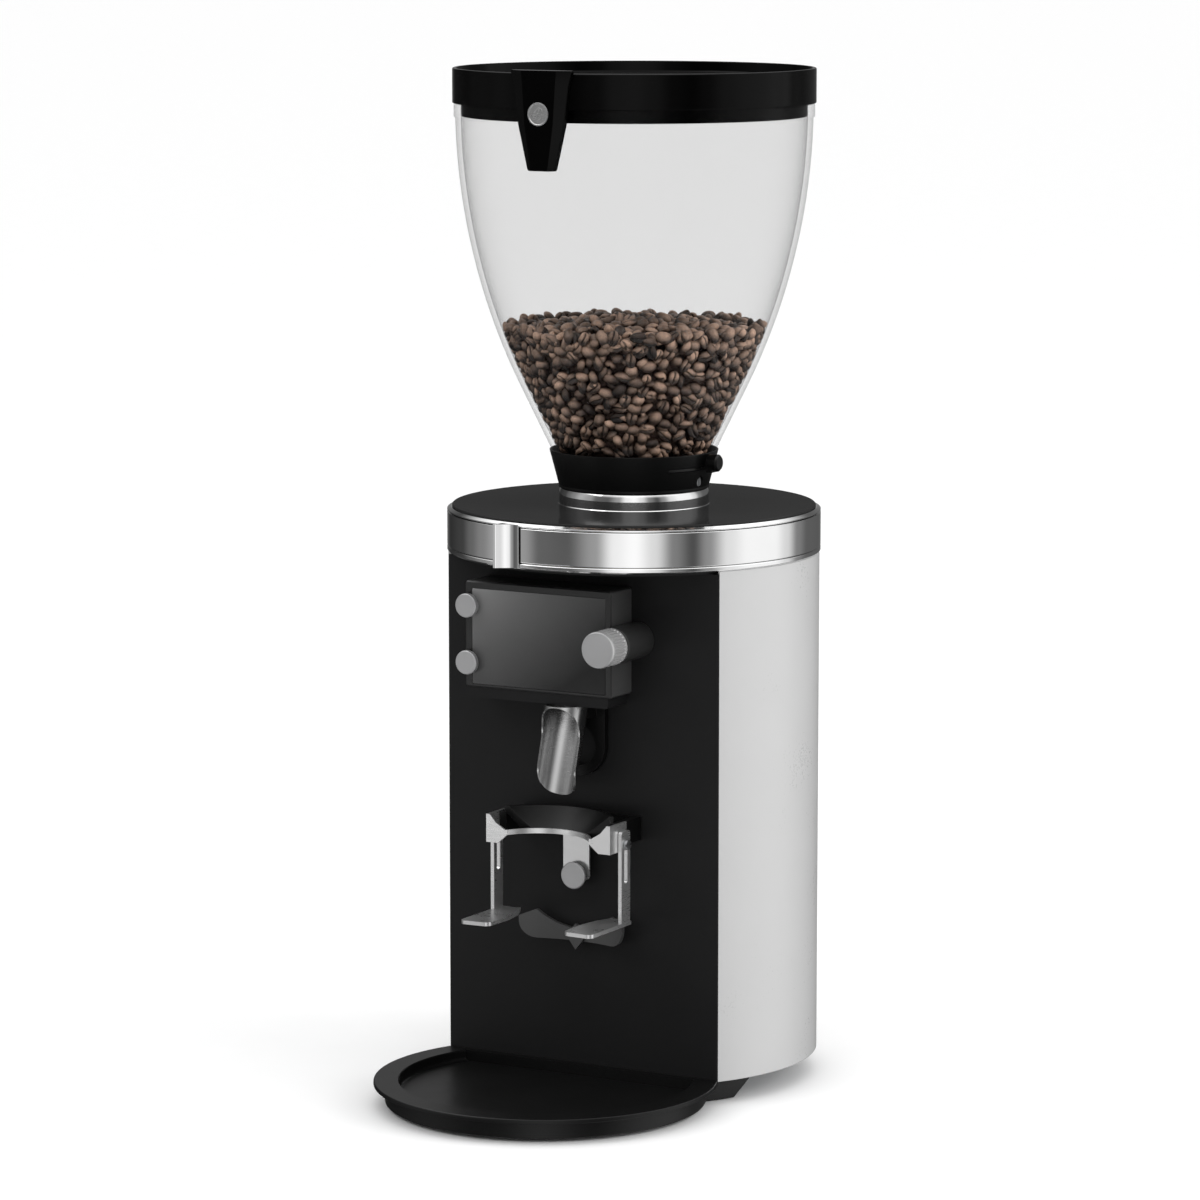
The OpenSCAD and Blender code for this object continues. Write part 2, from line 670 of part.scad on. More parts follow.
module bracket_screws() {
    color("#6f7174") for (side = [0, 1]) mirror([side, 0, 0])
        translate([0, screw_y, screw_z]) rotate([0, 90, 0]) {
        translate([0, 0, cheek_x + 0.5]) cylinder(h = arm_x - cheek_x + 3, r = 1.95, $fn = 32);
        translate([0, 0, arm_x + arm_t + 0.2]) difference() {
            cylinder(h = 1.9, r = 3.2, $fn = 32);
            translate([-0.5, -4, 1.1]) cube([1, 8, 2]);
        }
    }
}
slot_low_z = screw_z - fork_travel - 4.5;
prong_t = 2.4;
module fork_arm() {
    color("#b4b4b6") {
        difference() {
            translate([arm_x, -101, prong_z + 1]) cube([arm_t, 11, 60]);
            translate([arm_x - 1, screw_y - slot_r, slot_low_z])
                cube([arm_t + 2, 2 * slot_r, screw_z + 0.2 - slot_low_z]);
            for (z = [screw_z + 0.2, slot_low_z]) translate([arm_x - 1, screw_y, z]) rotate([0, 90, 0])
                cylinder(h = arm_t + 2, r = slot_r, $fn = 32);
        }
        translate([0, 0, prong_z]) linear_extrude(prong_t)
            polygon(concat([[33, -88.5], [28.5, -100], [26, -116]],
                arc_points([31, -135], 4.2, 175, 262, 6), arc_points([43.7, -136], 4, 275, 352, 8),
                [[arm_x + arm_t, -101], [arm_x + arm_t, -88.5]]));
    }
}
module fork_arm_right() { fork_arm(); }
module fork_arm_left() { mirror([1, 0, 0]) fork_arm(); }

strip_y = -73.6;
strip_low = 137.5;
module start_switch_plate() {
    color("#b4b4b6") difference() {
        front_pad(-9.5, 9.5, strip_low, 170, 2.5, strip_y, 1.4);
        front_disc(0, start_z, stem_r + running, strip_y + 2, 6);
    }
}
module start_button() {
    color("#a8a8aa") {
        translate([0, strip_y - 4.6, start_z]) rotate([90, 0, 0]) rotate_extrude()
            polygon([[0, -0.1], [8.65, -0.1], [8.65, 1.1], [8.2, 1.5], [0, 1.5]]);
        front_disc(0, start_z, stem_r, panel_back + 2.4, 16);
    }
}
module start_microswitch() {
    color("#2b2b2d") translate([-10, panel_back + 5.8, start_z - 5]) cube([20, 6, 14]);
}
cradle_y = -158;
module holder_cradle() {
    color("#2a2a2c") {
        intersection() {
            translate([0, 0, 90]) difference() {
                translate([0, cradle_y, 0]) cylinder(h = 40, r = 87);
                translate([0, cradle_y, -1]) cylinder(h = 42, r = 84);
            }
            translate([0, -60, 0]) rotate([90, 0, 0]) linear_extrude(40)
                polygon(concat(arc_points([0, 145], 40, 227, 313, 12),
                    [[37.8, 111.5]], arc_points([26.8, 108], 11, 0, -90, 6),
                    arc_points([-26.8, 108], 11, 270, 180, 6), [[-37.8, 111.5]]));
        }
        translate([-12, -72.2, 97]) cube([24, 72.2 + panel_y, 7]);
        translate([0, -73, 100.5]) rotate([90, 0, 0]) linear_extrude(3)
            polygon([[0, 8], [7, 0], [0, -9], [-7, 0]]);
    }
}
tray_z = 2.1;
tray_top = 16;
tray_wall_r = 101.7;
tray_inner = 92.9;
tray_floor = 9;
tray_back = panel_y - 0.4;
module grounds_tray() {
    color("#19191a") {
        difference() {
            translate([0, -tray_set, 0]) rotate_extrude()
                polygon([[0, tray_z], [tray_wall_r, tray_z], [tray_wall_r, tray_top - 3],
                    [tray_r, tray_top - 3], [tray_r, tray_top - 0.5], [tray_r - 0.5, tray_top],
                    [0, tray_top]]);
            translate([-150, tray_back, -1]) cube([300, 200, 40]);
            intersection() {
                translate([0, -tray_set, tray_floor]) cylinder(h = 20, r = tray_inner);
                translate([-150, tray_back - 5 - 300, 0]) cube([300, 300, 40]);
            }
            intersection() {
                translate([0, -tray_set, tray_z - 1])
                    cylinder(h = tray_floor - 1.5 - tray_z, r = tray_wall_r - 3);
                translate([-150, tray_back - 5 - 300, -5]) cube([300, 300, 40]);
            }
        }
        translate([-rail_x + 0.6, tray_back - 3, tongue_z]) cube([2 * rail_x - 1.2, 45, tongue_t - 0.1]);
    }
}

/* ---- electrics ---- */
module control_board() {
    color("#1f5a34") translate([-45, 60, 150]) cube([90, 1.8, 120]);
    color("#2b2b2d") translate([-30, 61.8, 170]) cube([26, 16, 30]);
}
plate_in_y = 104.5;
module inlet_plate() {
    color("#e6e6e4") difference() {
        translate([-inlet_w / 2 - 1.5, plate_in_y, inlet_z0 - 3])
            cube([inlet_w + 3, 1.6, inlet_z1 - inlet_z0 + 6]);
        translate([-35, plate_in_y - 1, 45]) cube([28, 4, 21]);
        translate([12, plate_in_y - 1, 45]) cube([14, 4, 21]);
    }
}
module power_inlet() {
    color("#151516") difference() {
        union() {
            translate([-34.9, plate_in_y - 20, 45.1]) cube([27.8, 22, 20.8]);
            translate([-37, plate_in_y + 1.7, 43]) cube([32, 2, 25]);
        }
        translate([-33, plate_in_y - 14, 47.5]) cube([24, 30, 16]);
    }
    color("silver") for (dx = [-7, 0, 7])
        translate([-21 + dx - 1, plate_in_y - 14.5, dx == 0 ? 56 : 51]) cube([2, 11, 4]);
}
rocker_x = 19;
rocker_y = plate_in_y + 0.5;
rocker_z = 55.5;
module power_rocker() {
    color("#b3261e") intersection() {
        translate([rocker_x - 6.7, rocker_y - 6, rocker_z - 10.2]) cube([13.4, 10.5, 20.4]);
        translate([rocker_x - 6.7, rocker_y, rocker_z]) rotate([0, 90, 0]) cylinder(h = 13.4, r = 10.2);
    }
}

placed() rubber_feet();
placed() base_plate();
placed() chassis_frame();
placed() deck_plate();
placed() front_panel();
placed() rear_housing();
placed() lower_trim_ring();
placed() top_bezel();
placed() top_plate();
placed() hopper_collar();
placed() adjustment_ring();
placed() motor_stator();
placed() lower_end_bell();
placed() upper_end_bell();
placed() motor_bearings();
placed() motor_rotor();
placed() drive_shaft();
placed() cooling_fan();
placed() grinding_chamber();
placed() lower_burr_carrier();
placed() lower_burr();
placed() lower_burr_screws();
placed() upper_burr_carrier();
placed() upper_burr();
placed() upper_burr_screws();
placed() outlet_duct();
placed() hopper_neck();
placed() hopper_shell();
placed() hopper_lock_screw();
placed() shutter_plate();
placed() shutter_knob();
placed() bean_charge();
placed() hopper_lid();
placed() lid_clip();
placed() lid_badge();
placed() display_housing();
placed() display_glass();
placed() display_board();
placed() menu_button_upper();
placed() menu_button_lower();
placed() knob_boss();
placed() selector_encoder();
placed() encoder_shaft();
placed() selector_knob();
placed() outlet_boss();
placed() coffee_spout();
placed() coffee_funnel();
placed() holder_bracket();
placed() bracket_screws();
placed() fork_arm_left();
placed() fork_arm_right();
placed() start_switch_plate();
placed() start_button();
placed() start_microswitch();
placed() holder_cradle();
placed() grounds_tray();
placed() control_board();
placed() inlet_plate();
placed() power_inlet();
placed() power_rocker();
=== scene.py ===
"""Looks of the burr coffee grinder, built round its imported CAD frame.

Shapes are drawn in millimetres from the column's axis, with z up from the worktop. piece() turns
them into metres in the row frame. Sizes come from the CAD nodes' boxes wherever a node has them.
"""

import json
import math

import bmesh
import bpy
import numpy as np
from mathutils import Matrix, Vector


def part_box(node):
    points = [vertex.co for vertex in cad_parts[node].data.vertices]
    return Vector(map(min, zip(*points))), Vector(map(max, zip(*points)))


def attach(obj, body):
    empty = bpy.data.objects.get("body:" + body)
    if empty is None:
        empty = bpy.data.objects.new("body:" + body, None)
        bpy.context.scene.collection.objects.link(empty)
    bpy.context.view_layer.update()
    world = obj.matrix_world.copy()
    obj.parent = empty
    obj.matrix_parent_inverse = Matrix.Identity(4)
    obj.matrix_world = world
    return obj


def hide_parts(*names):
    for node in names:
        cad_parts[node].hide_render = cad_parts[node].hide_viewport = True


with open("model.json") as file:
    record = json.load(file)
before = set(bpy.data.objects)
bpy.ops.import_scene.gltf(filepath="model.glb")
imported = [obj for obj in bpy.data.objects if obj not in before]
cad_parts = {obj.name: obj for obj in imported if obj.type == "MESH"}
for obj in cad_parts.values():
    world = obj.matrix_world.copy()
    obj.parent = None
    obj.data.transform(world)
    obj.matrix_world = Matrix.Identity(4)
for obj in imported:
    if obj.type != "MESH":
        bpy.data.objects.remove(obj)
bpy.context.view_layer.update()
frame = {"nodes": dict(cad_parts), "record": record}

MM = 0.001
SLOT_OF = {row["node"]: row["material_slot"] for row in frame["record"]["subparts"]}
BODY_OF = {node: body for body, nodes in frame["record"]["behaviour"]["bodies"].items() for node in nodes}
COLUMN_Y = sum(corner.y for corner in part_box("top_bezel")) / 2 / MM
ROUND_STEPS = 224
NEARLY_STRAIGHT = math.radians(86)
EDGE_SHARE = 0.45
SHARP = math.radians(32)
rng = np.random.default_rng(41)


class Box:
    """A CAD node's box in millimetres from the column's axis, with its middle, and half its width as r."""

    def __init__(self, node):
        low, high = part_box(node)
        self.x0, self.y0, self.z0 = low.x / MM, low.y / MM - COLUMN_Y, low.z / MM
        self.x1, self.y1, self.z1 = high.x / MM, high.y / MM - COLUMN_Y, high.z / MM
        self.cx, self.cy, self.cz = ((a + b) / 2 for a, b in
                                     ((self.x0, self.x1), (self.y0, self.y1), (self.z0, self.z1)))
        self.r = (self.x1 - self.x0) / 2


# ---- outlines and shapes ----

def arc(cx, cy, r, start, stop, steps):
    """Points on an arc, angles in degrees."""
    return [(cx + r * math.cos(t), cy + r * math.sin(t))
            for t in np.radians(np.linspace(start, stop, steps + 1))]


def rounded(points, radius, steps=4):
    """A closed outline with its corners rounded. radius is one number, or one for each corner.

    A rounding takes no more than EDGE_SHARE of an edge, and a nearly straight corner is left alone.
    """
    count = len(points)
    radii = radius if isinstance(radius, (list, tuple)) else [radius] * count
    out = []
    for i, corner in enumerate(points):
        p = np.array(corner, float)
        u, v = np.array(points[i - 1], float) - p, np.array(points[(i + 1) % count], float) - p
        lu, lv = np.linalg.norm(u), np.linalg.norm(v)
        half = math.acos(np.clip(u @ v / (lu * lv), -1, 1)) / 2
        if radii[i] <= 0 or half > NEARLY_STRAIGHT:
            out.append(tuple(p))
            continue
        t = min(radii[i] / math.tan(half), EDGE_SHARE * lu, EDGE_SHARE * lv)
        a, b = p + u / lu * t, p + v / lv * t
        out += [tuple((1 - s) ** 2 * a + 2 * s * (1 - s) * p + s * s * b)
                for s in np.linspace(0, 1, steps + 1)]
    return out


def rectangle(x0, x1, y0, y1):
    return [(x0, y0), (x1, y0), (x1, y1), (x0, y1)]


def lathe(profile, steps=ROUND_STEPS, start=0.0, sweep=360.0, centre=(0.0, 0.0)):
    """A closed (radius, height) profile turned about a vertical axis."""
    full = sweep >= 360
    count = steps if full else steps + 1
    angles = np.radians(start + sweep * np.arange(count) / steps)
    verts, rings, faces = [], [], []
    for r, z in profile:
        first = len(verts)
        if r < 1e-6:
            verts.append((centre[0], centre[1], z))
            rings.append([first] * count)
        else:
            verts += [(centre[0] + r * math.cos(a), centre[1] + r * math.sin(a), z) for a in angles]
            rings.append(list(range(first, first + count)))
    for i in range(len(profile)):
        a, b = rings[i], rings[(i + 1) % len(profile)]
        for k in range(count if full else count - 1):
            nxt = (k + 1) % count
            face = list(dict.fromkeys((a[k], a[nxt], b[nxt], b[k])))
            if len(face) > 2:
                faces.append(face)
    if not full:
        faces += [[ring[0] for ring in rings], [ring[-1] for ring in rings][::-1]]
    return verts, faces


def extruded(outline, low, high):
    """A flat outline drawn out from low to high along z."""
    n = len(outline)
    verts = [(x, y, z) for z in (low, high) for x, y in outline]
    faces = [list(range(n))[::-1], list(range(n, 2 * n))]
    faces += [[i, (i + 1) % n, n + (i + 1) % n, n + i] for i in range(n)]
    return verts, faces


def lofted(sections):
    """A solid through closed outlines of the same number of 3-D points."""
    n = len(sections[0])
    verts = [tuple(p) for section in sections for p in section]
    faces = [list(range(n))[::-1], list(range(len(verts) - n, len(verts)))]
    for s in range(len(sections) - 1):
        low, high = s * n, (s + 1) * n
        faces += [[low + i, low + (i + 1) % n, high + (i + 1) % n, high + i] for i in range(n)]
    return verts, faces


def block(x0, x1, y0, y1, z0, z1):
    return extruded(rectangle(x0, x1, y0, y1), z0, z1)


def placed(shape, matrix):
    verts, faces = shape
    return [tuple(matrix @ Vector(v)) for v in verts], faces


def turned(shape, degrees):
    """The shape turned about the column's axis."""
    return placed(shape, Matrix.Rotation(math.radians(degrees), 4, "Z"))


def joined(*shapes):
    verts, faces = [], []
    for more_verts, more_faces in shapes:
        faces += [[i + len(verts) for i in face] for face in more_faces]
        verts += more_verts
    return verts, faces


def front(x, z, y):
    """Local x and y lie in the panel's plane, and local z comes forwards from it."""
    return Matrix(((1, 0, 0, x), (0, 0, -1, y), (0, 1, 0, z), (0, 0, 0, 1)))


def sideways(x, y, z):
    """Local z points along +X."""
    return Matrix(((0, 0, 1, x), (1, 0, 0, y), (0, 1, 0, z), (0, 0, 0, 1)))


def mirrored(shape):
    verts, faces = shape
    return [(-x, y, z) for x, y, z in verts], [face[::-1] for face in faces]


# ---- objects ----

def new_object(name, shape):
    verts, faces = shape
    mesh = bpy.data.meshes.new(name)
    mesh.from_pydata([(x * MM, (y + COLUMN_Y) * MM, z * MM) for x, y, z in verts], [], faces)
    edit = bmesh.new()
    edit.from_mesh(mesh)
    bmesh.ops.remove_doubles(edit, verts=edit.verts, dist=1e-6)
    bmesh.ops.recalc_face_normals(edit, faces=edit.faces)
    edit.to_mesh(mesh)
    edit.free()
    obj = bpy.data.objects.new(name, mesh)
    bpy.context.scene.collection.objects.link(obj)
    return obj


def apply_modifiers(obj):
    graph = bpy.context.evaluated_depsgraph_get()
    mesh = bpy.data.meshes.new_from_object(obj.evaluated_get(graph))
    obj.modifiers.clear()
    obj.data = mesh


def combine_with(obj, other, operation="DIFFERENCE"):
    """Cuts another object out of obj, or adds it, and deletes the other one."""
    change = obj.modifiers.new("combine", "BOOLEAN")
    change.operation, change.object, change.solver = operation, other, "EXACT"
    bpy.context.view_layer.update()
    apply_modifiers(obj)
    bpy.data.objects.remove(other)


def combine(obj, shape, operation="DIFFERENCE"):
    """Cuts a shape out of obj, or adds it."""
    combine_with(obj, new_object("other", shape), operation)


def soften(obj, width, segments=2, weld=False):
    """Rounds the edges by a modifier, or with no width marks the sharp ones, and evens out the shading."""
    if weld:
        obj.modifiers.new("weld", "WELD").merge_threshold = 1e-5
    if width > 0:
        bevel = obj.modifiers.new("bevel", "BEVEL")
        bevel.width, bevel.segments = width * MM, segments
        bevel.limit_method, bevel.angle_limit = "ANGLE", SHARP
    obj.data.shade_smooth()
    if width == 0:
        obj.data.set_sharp_from_angle(angle=SHARP)
    obj.modifiers.new("shading", "WEIGHTED_NORMAL").keep_sharp = True
    return obj


def piece(name, shape, node, bevel=0.0, segments=2, cuts=(), adds=(), material=None):
    """A finished piece that rides on a CAD node's body and stands for that node."""
    obj = new_object(name, shape)
    for extra in adds:
        combine(obj, extra, "UNION")
    for cut in cuts:
        combine(obj, cut)
    soften(obj, bevel, segments)
    return dress(obj, node, material)


def dress(obj, node, material=None, replace=True):
    """Gives obj its material and puts it on the CAD node's body, in the node's place unless told not to."""
    obj.data.materials.clear()
    obj.data.materials.append(MATERIALS[material or SLOT_OF[node]])
    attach(obj, BODY_OF[node])
    if replace:
        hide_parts(node)
    return obj


# ---- materials ----

def grey(value):
    return (value, value, value)


class Nodes:
    """A material's nodes, with short ways to add and join them."""

    def __init__(self, name):
        self.material = bpy.data.materials.new(name)
        self.material.use_nodes = True
        self.tree = self.material.node_tree
        self.shader = self.tree.nodes["Principled BSDF"]
        self.coords = self.add("ShaderNodeTexCoord").outputs["Object"]

    def add(self, kind, **values):
        node = self.tree.nodes.new(kind)
        for key, value in values.items():
            setattr(node, key, value)
        return node

    def link(self, source, target):
        self.tree.links.new(source, target)

    def noise(self, scale, stretch=(1, 1, 1), detail=3.0):
        """Noise at so many grains a metre, squeezed along the axes by stretch."""
        mapping = self.add("ShaderNodeMapping")
        mapping.inputs["Scale"].default_value = stretch
        self.link(self.coords, mapping.inputs["Vector"])
        noise = self.add("ShaderNodeTexNoise")
        noise.inputs["Scale"].default_value = scale
        noise.inputs["Detail"].default_value = detail
        self.link(mapping.outputs["Vector"], noise.inputs["Vector"])
        return noise.outputs["Fac"]

    def spread(self, value, low, high, start=0.3, stop=0.7):
        """value, which runs from start to stop, mapped to low to high."""
        node = self.add("ShaderNodeMapRange")
        for name, number in zip(("From Min", "From Max", "To Min", "To Max"), (start, stop, low, high)):
            node.inputs[name].default_value = number
        self.link(value, node.inputs["Value"])
        return node.outputs["Result"]

    def blend(self, value, dark, light):
        node = self.add("ShaderNodeMix", data_type="RGBA")
        self.link(value, node.inputs["Factor"])
        node.inputs["A"].default_value = (*dark, 1)
        node.inputs["B"].default_value = (*light, 1)
        return node.outputs["Result"]

    def total(self, first, second):
        node = self.add("ShaderNodeMath", operation="ADD")
        self.link(first, node.inputs[0])
        self.link(second, node.inputs[1])
        return node.outputs[0]

    def power(self, value, exponent):
        node = self.add("ShaderNodeMath", operation="POWER", use_clamp=True)
        self.link(value, node.inputs[0])
        node.inputs[1].default_value = exponent
        return node.outputs[0]

    def bump(self, height, depth):
        """Surface relief, depth in millimetres."""
        node = self.add("ShaderNodeBump")
        node.inputs["Distance"].default_value = depth * MM
        self.link(height, node.inputs["Height"])
        self.link(node.outputs["Normal"], self.shader.inputs["Normal"])


def surface(name, colour, roughness, metallic=0.0, specular=0.5, coat=0.0, coat_roughness=0.1,
            grain=900.0, stretch=(1, 1, 1), relief=0.0, shade=0.06, uneven=0.05):
    """A material whose colour, roughness and relief all vary a little over the surface."""
    n = Nodes(name)
    n.shader.inputs["Metallic"].default_value = metallic
    n.shader.inputs["Specular IOR Level"].default_value = specular
    n.shader.inputs["Coat Weight"].default_value = coat
    n.shader.inputs["Coat Roughness"].default_value = coat_roughness
    fine, broad = n.noise(grain, stretch), n.noise(22, detail=5)
    darker, lighter = ([c * (1 + change) for c in colour] for change in (-shade, shade))
    n.link(n.blend(n.spread(broad, 0, 1), darker, lighter), n.shader.inputs["Base Color"])
    n.link(n.spread(n.total(fine, broad), max(roughness - uneven, 0.02), roughness + uneven, 0.7, 1.3),
           n.shader.inputs["Roughness"])
    if relief > 0:
        n.bump(fine, relief)
    return n.material


def clear_plastic():
    """Thin clear plastic: seen straight through, with reflections that grow towards the edges."""
    n = Nodes("clear_plastic")
    n.tree.nodes.remove(n.shader)
    through = n.add("ShaderNodeBsdfTransparent")
    through.inputs["Color"].default_value = (*grey(0.925), 1)
    gloss = n.add("ShaderNodeBsdfGlossy")
    gloss.inputs["Color"].default_value = (*grey(0.95), 1)
    n.link(n.spread(n.noise(60), 0.02, 0.06), gloss.inputs["Roughness"])
    facing = n.add("ShaderNodeLayerWeight")
    facing.inputs["Blend"].default_value = 0.5
    mix = n.add("ShaderNodeMixShader")
    n.link(n.spread(n.power(facing.outputs["Facing"], 5), 0.0012, 0.4, 0, 1), mix.inputs["Fac"])
    n.link(through.outputs["BSDF"], mix.inputs[1])
    n.link(gloss.outputs["BSDF"], mix.inputs[2])
    n.link(mix.outputs["Shader"], n.tree.nodes["Material Output"].inputs["Surface"])
    return n.material


def screen():
    """Dark glass over a display, with a painted reflection that makes it paler towards the top on the button
    side.
    """
    n = Nodes("screen")
    glass = Box("display_glass")
    split = n.add("ShaderNodeSeparateXYZ")
    n.link(n.coords, split.inputs["Vector"])
    across = n.spread(split.outputs["X"], 0, 0.6, glass.x0 * MM, glass.x1 * MM)
    down = n.spread(split.outputs["Z"], 0, 0.62, glass.z1 * MM, glass.z0 * MM)
    eased = n.power(n.total(across, down), 0.42)
    # painted reflection: pale grey at the top on the button side, fading to near black
    n.link(n.blend(eased, grey(0.27), grey(0.007)), n.shader.inputs["Base Color"])
    n.link(n.spread(n.noise(90), 0.1, 0.16), n.shader.inputs["Roughness"])
    n.shader.inputs["Specular IOR Level"].default_value = 0.2
    return n.material


def coffee_beans():
    """Roasted beans: brown that differs from bean to bean, with painted shade in the groove and between
    beans, and an oily sheen.
    """
    n = Nodes("coffee_beans")
    tint = n.add("ShaderNodeAttribute", attribute_name="tint")
    painted_shade = n.add("ShaderNodeAttribute", attribute_name="painted_shade")
    brown = n.blend(tint.outputs["Fac"], (0.05, 0.031, 0.022), (0.66, 0.44, 0.32))
    mottle = n.add("ShaderNodeMix", data_type="RGBA", blend_type="MULTIPLY")
    mottle.inputs["Factor"].default_value = 1.0
    n.link(brown, mottle.inputs["A"])
    n.link(n.blend(n.spread(n.noise(700), 0, 1), grey(0.75), (1.15, 1.12, 1.1)), mottle.inputs["B"])
    # painted shade: the shade attribute darkens the brown down to nearly black
    shaded = n.add("ShaderNodeMix", data_type="RGBA")
    n.link(painted_shade.outputs["Fac"], shaded.inputs["Factor"])
    n.link(mottle.outputs["Result"], shaded.inputs["A"])
    shaded.inputs["B"].default_value = (0.004, 0.002, 0.0014, 1)
    n.link(shaded.outputs["Result"], n.shader.inputs["Base Color"])
    n.link(n.spread(n.noise(300), 0.4, 0.55), n.shader.inputs["Roughness"])
    n.shader.inputs["Coat Weight"].default_value = 0.3
    n.shader.inputs["Coat Roughness"].default_value = 0.25
    n.bump(n.noise(1500), 0.12)
    return n.material


SURFACES = {
    "white_paint": dict(colour=grey(0.445), roughness=0.32, coat=0.4, coat_roughness=0.14, grain=700,
                        relief=0.01, shade=0.012),
    "black_panel": dict(colour=(0.0068, 0.0068, 0.0071), roughness=0.55, specular=0.25, grain=2600,
                        relief=0.03, shade=0.1),
    "dark_plate": dict(colour=grey(0.022), roughness=0.4, specular=0.0, coat=0.17, coat_roughness=0.1,
                       grain=1800, relief=0.004),
    "polished_steel": dict(colour=grey(0.92), roughness=0.075, metallic=1, grain=60, stretch=(1, 1, 40),
                           relief=0.001, shade=0.02, uneven=0.02),
    "satin_steel": dict(colour=grey(0.70), roughness=0.3, metallic=0.91, grain=160, stretch=(1, 1, 20),
                        relief=0.003, shade=0.05, uneven=0.05),
    "knob_aluminium": dict(colour=(0.46, 0.46, 0.465), roughness=0.42, metallic=0.7, grain=1500,
                           relief=0.01, shade=0.04),
    "black_plastic": dict(colour=grey(0.0028), roughness=0.34, specular=0.28, grain=2200, relief=0.015,
                          shade=0.12),
    "gloss_black": dict(colour=grey(0.0008), roughness=0.06, specular=0.09, grain=300, shade=0.2,
                        uneven=0.02),
    "case_plastic": dict(colour=grey(0.010), roughness=0.38, specular=0.6, grain=2200, relief=0.012,
                         shade=0.08),
    "spout_steel": dict(colour=grey(0.5), roughness=0.24, metallic=1, grain=140, stretch=(1, 1, 12),
                        relief=0.001, shade=0.08, uneven=0.04),
    "knob_steel": dict(colour=grey(0.5), roughness=0.22, metallic=0.55, grain=600, shade=0.03, uneven=0.03),
    "boss_plastic": dict(colour=grey(0.020), roughness=0.34, specular=0.6, grain=1200, shade=0.1),
    # a paler copy of case_plastic: painted light on the display case's top and right side; the cradle is
    # dressed in it too
    "case_side": dict(colour=grey(0.042), roughness=0.4, specular=0.6, grain=2200, relief=0.012, shade=0.08),
    # the bean core's near-black brown is painted shade, standing for the shaded beans deep in the heap
    "bean_core": dict(colour=(0.028, 0.013, 0.008), roughness=0.8, grain=400, relief=0.8, shade=0.5),
    "rubber": dict(colour=grey(0.018), roughness=0.75, specular=0.3, grain=1600, relief=0.05, shade=0.2),
    "frame_steel": dict(colour=(0.42, 0.43, 0.44), roughness=0.4, metallic=1, grain=300, shade=0.15,
                        uneven=0.1),
    "cast_alloy": dict(colour=(0.5, 0.51, 0.52), roughness=0.5, metallic=1, grain=900, relief=0.1, shade=0.1),
    "burr_steel": dict(colour=(0.36, 0.36, 0.37), roughness=0.33, metallic=1, grain=500, relief=0.02),
    "windings": dict(colour=(0.5, 0.2, 0.08), roughness=0.4, metallic=1, grain=90, stretch=(1, 1, 9),
                     relief=0.4, shade=0.2),
    "brass_part": dict(colour=(0.7, 0.5, 0.2), roughness=0.35, metallic=1, grain=200, shade=0.1),
    "board_green": dict(colour=(0.03, 0.16, 0.06), roughness=0.4, grain=200, shade=0.3),
    "rocker_red": dict(colour=(0.5, 0.03, 0.02), roughness=0.3, grain=1200, relief=0.01),
}
MATERIALS = {name: surface(name, **settings) for name, settings in SURFACES.items()}
MATERIALS |= {"clear_plastic": clear_plastic(), "screen": screen(), "coffee_beans": coffee_beans()}

for node, obj in frame["nodes"].items():
    obj.data.materials.clear()
    obj.data.materials.append(MATERIALS["case_side" if node == "holder_cradle" else SLOT_OF[node]])


# ---- housing, top stack and adjustment ring ----

def housing():
    """The curved sheet round the back, with its vents and the opening for the inlet."""
    b, inlet = Box("rear_housing"), Box("inlet_plate")
    sheet, rim_side, rim_ends, vent_half, vent_tall = 2.0, 1.5, 3, 34, 3.5
    start = math.degrees(math.asin(b.y0 / b.r))
    profile = rounded(rectangle(b.r - sheet, b.r, b.z0, b.z1), 0.7)
    recess = block(inlet.x0 + rim_side, inlet.x1 - rim_side, 60, 140, inlet.z0 + rim_ends,
                   inlet.z1 - rim_ends)
    vents = [placed(extruded(rounded(rectangle(-vent_half, vent_half, z, z + vent_tall), 1.7), -150, -80),
                    front(0, 0, 0)) for z in range(104, 149, 11)]
    piece("housing_skin", lathe(profile, start=start, sweep=180 - 2 * start), "rear_housing",
          cuts=[recess, *vents])


COLLAR_BORE = 41.5


def top_stack():
    """The turned rings and the disc on top, whose outer radii and heights come from their CAD boxes."""
    def ring(name, node, profile):
        b = Box(node)
        piece(name, lathe(rounded(profile(b.r, b.z0, b.z1), 0.3, 3)), node)

    ring("trim_ring", "lower_trim_ring", lambda r, z0, z1: [
        (100, z0), (r - 1, z0), (r, z0 + 1), (r, z1 - 0.7), (r - 0.7, z1), (100, z1)])
    ring("bezel_ring", "top_bezel", lambda r, z0, z1: [
        (104, z0), (r - 1.4, z0), (r - 1.4, z0 + 0.4), (r, z0 + 0.5), (r, z0 + 1.2), (r - 2.4, z1),
        (104, z1)])
    ring("top_disc", "top_plate", lambda r, z0, z1: [
        (COLLAR_BORE, z0), (r, z0), (r, z1 - 0.5), (r - 0.5, z1), (COLLAR_BORE, z1)])


def collar():
    """The polished ring that the hopper's neck stands in, with a slightly domed outside."""
    b = Box("hopper_collar")
    tall, curve_r = b.r - 0.8, 11
    crown = arc(tall - curve_r, b.z1 - 5, curve_r, 0, 24, 10)
    profile = [(COLLAR_BORE, b.z0), (tall + 0.3, b.z0), (tall, b.z0 + 0.4), *crown, (COLLAR_BORE, b.z1)]
    piece("collar", lathe(profile), "hopper_collar")


TAB_BEARING, TAB_OUT, TAB_LENGTH = -103.7, 9.0, 13
SLIT_BEARING, SLIT_HALF, SLIT_DEPTH = -97.2, 0.6, 1.5


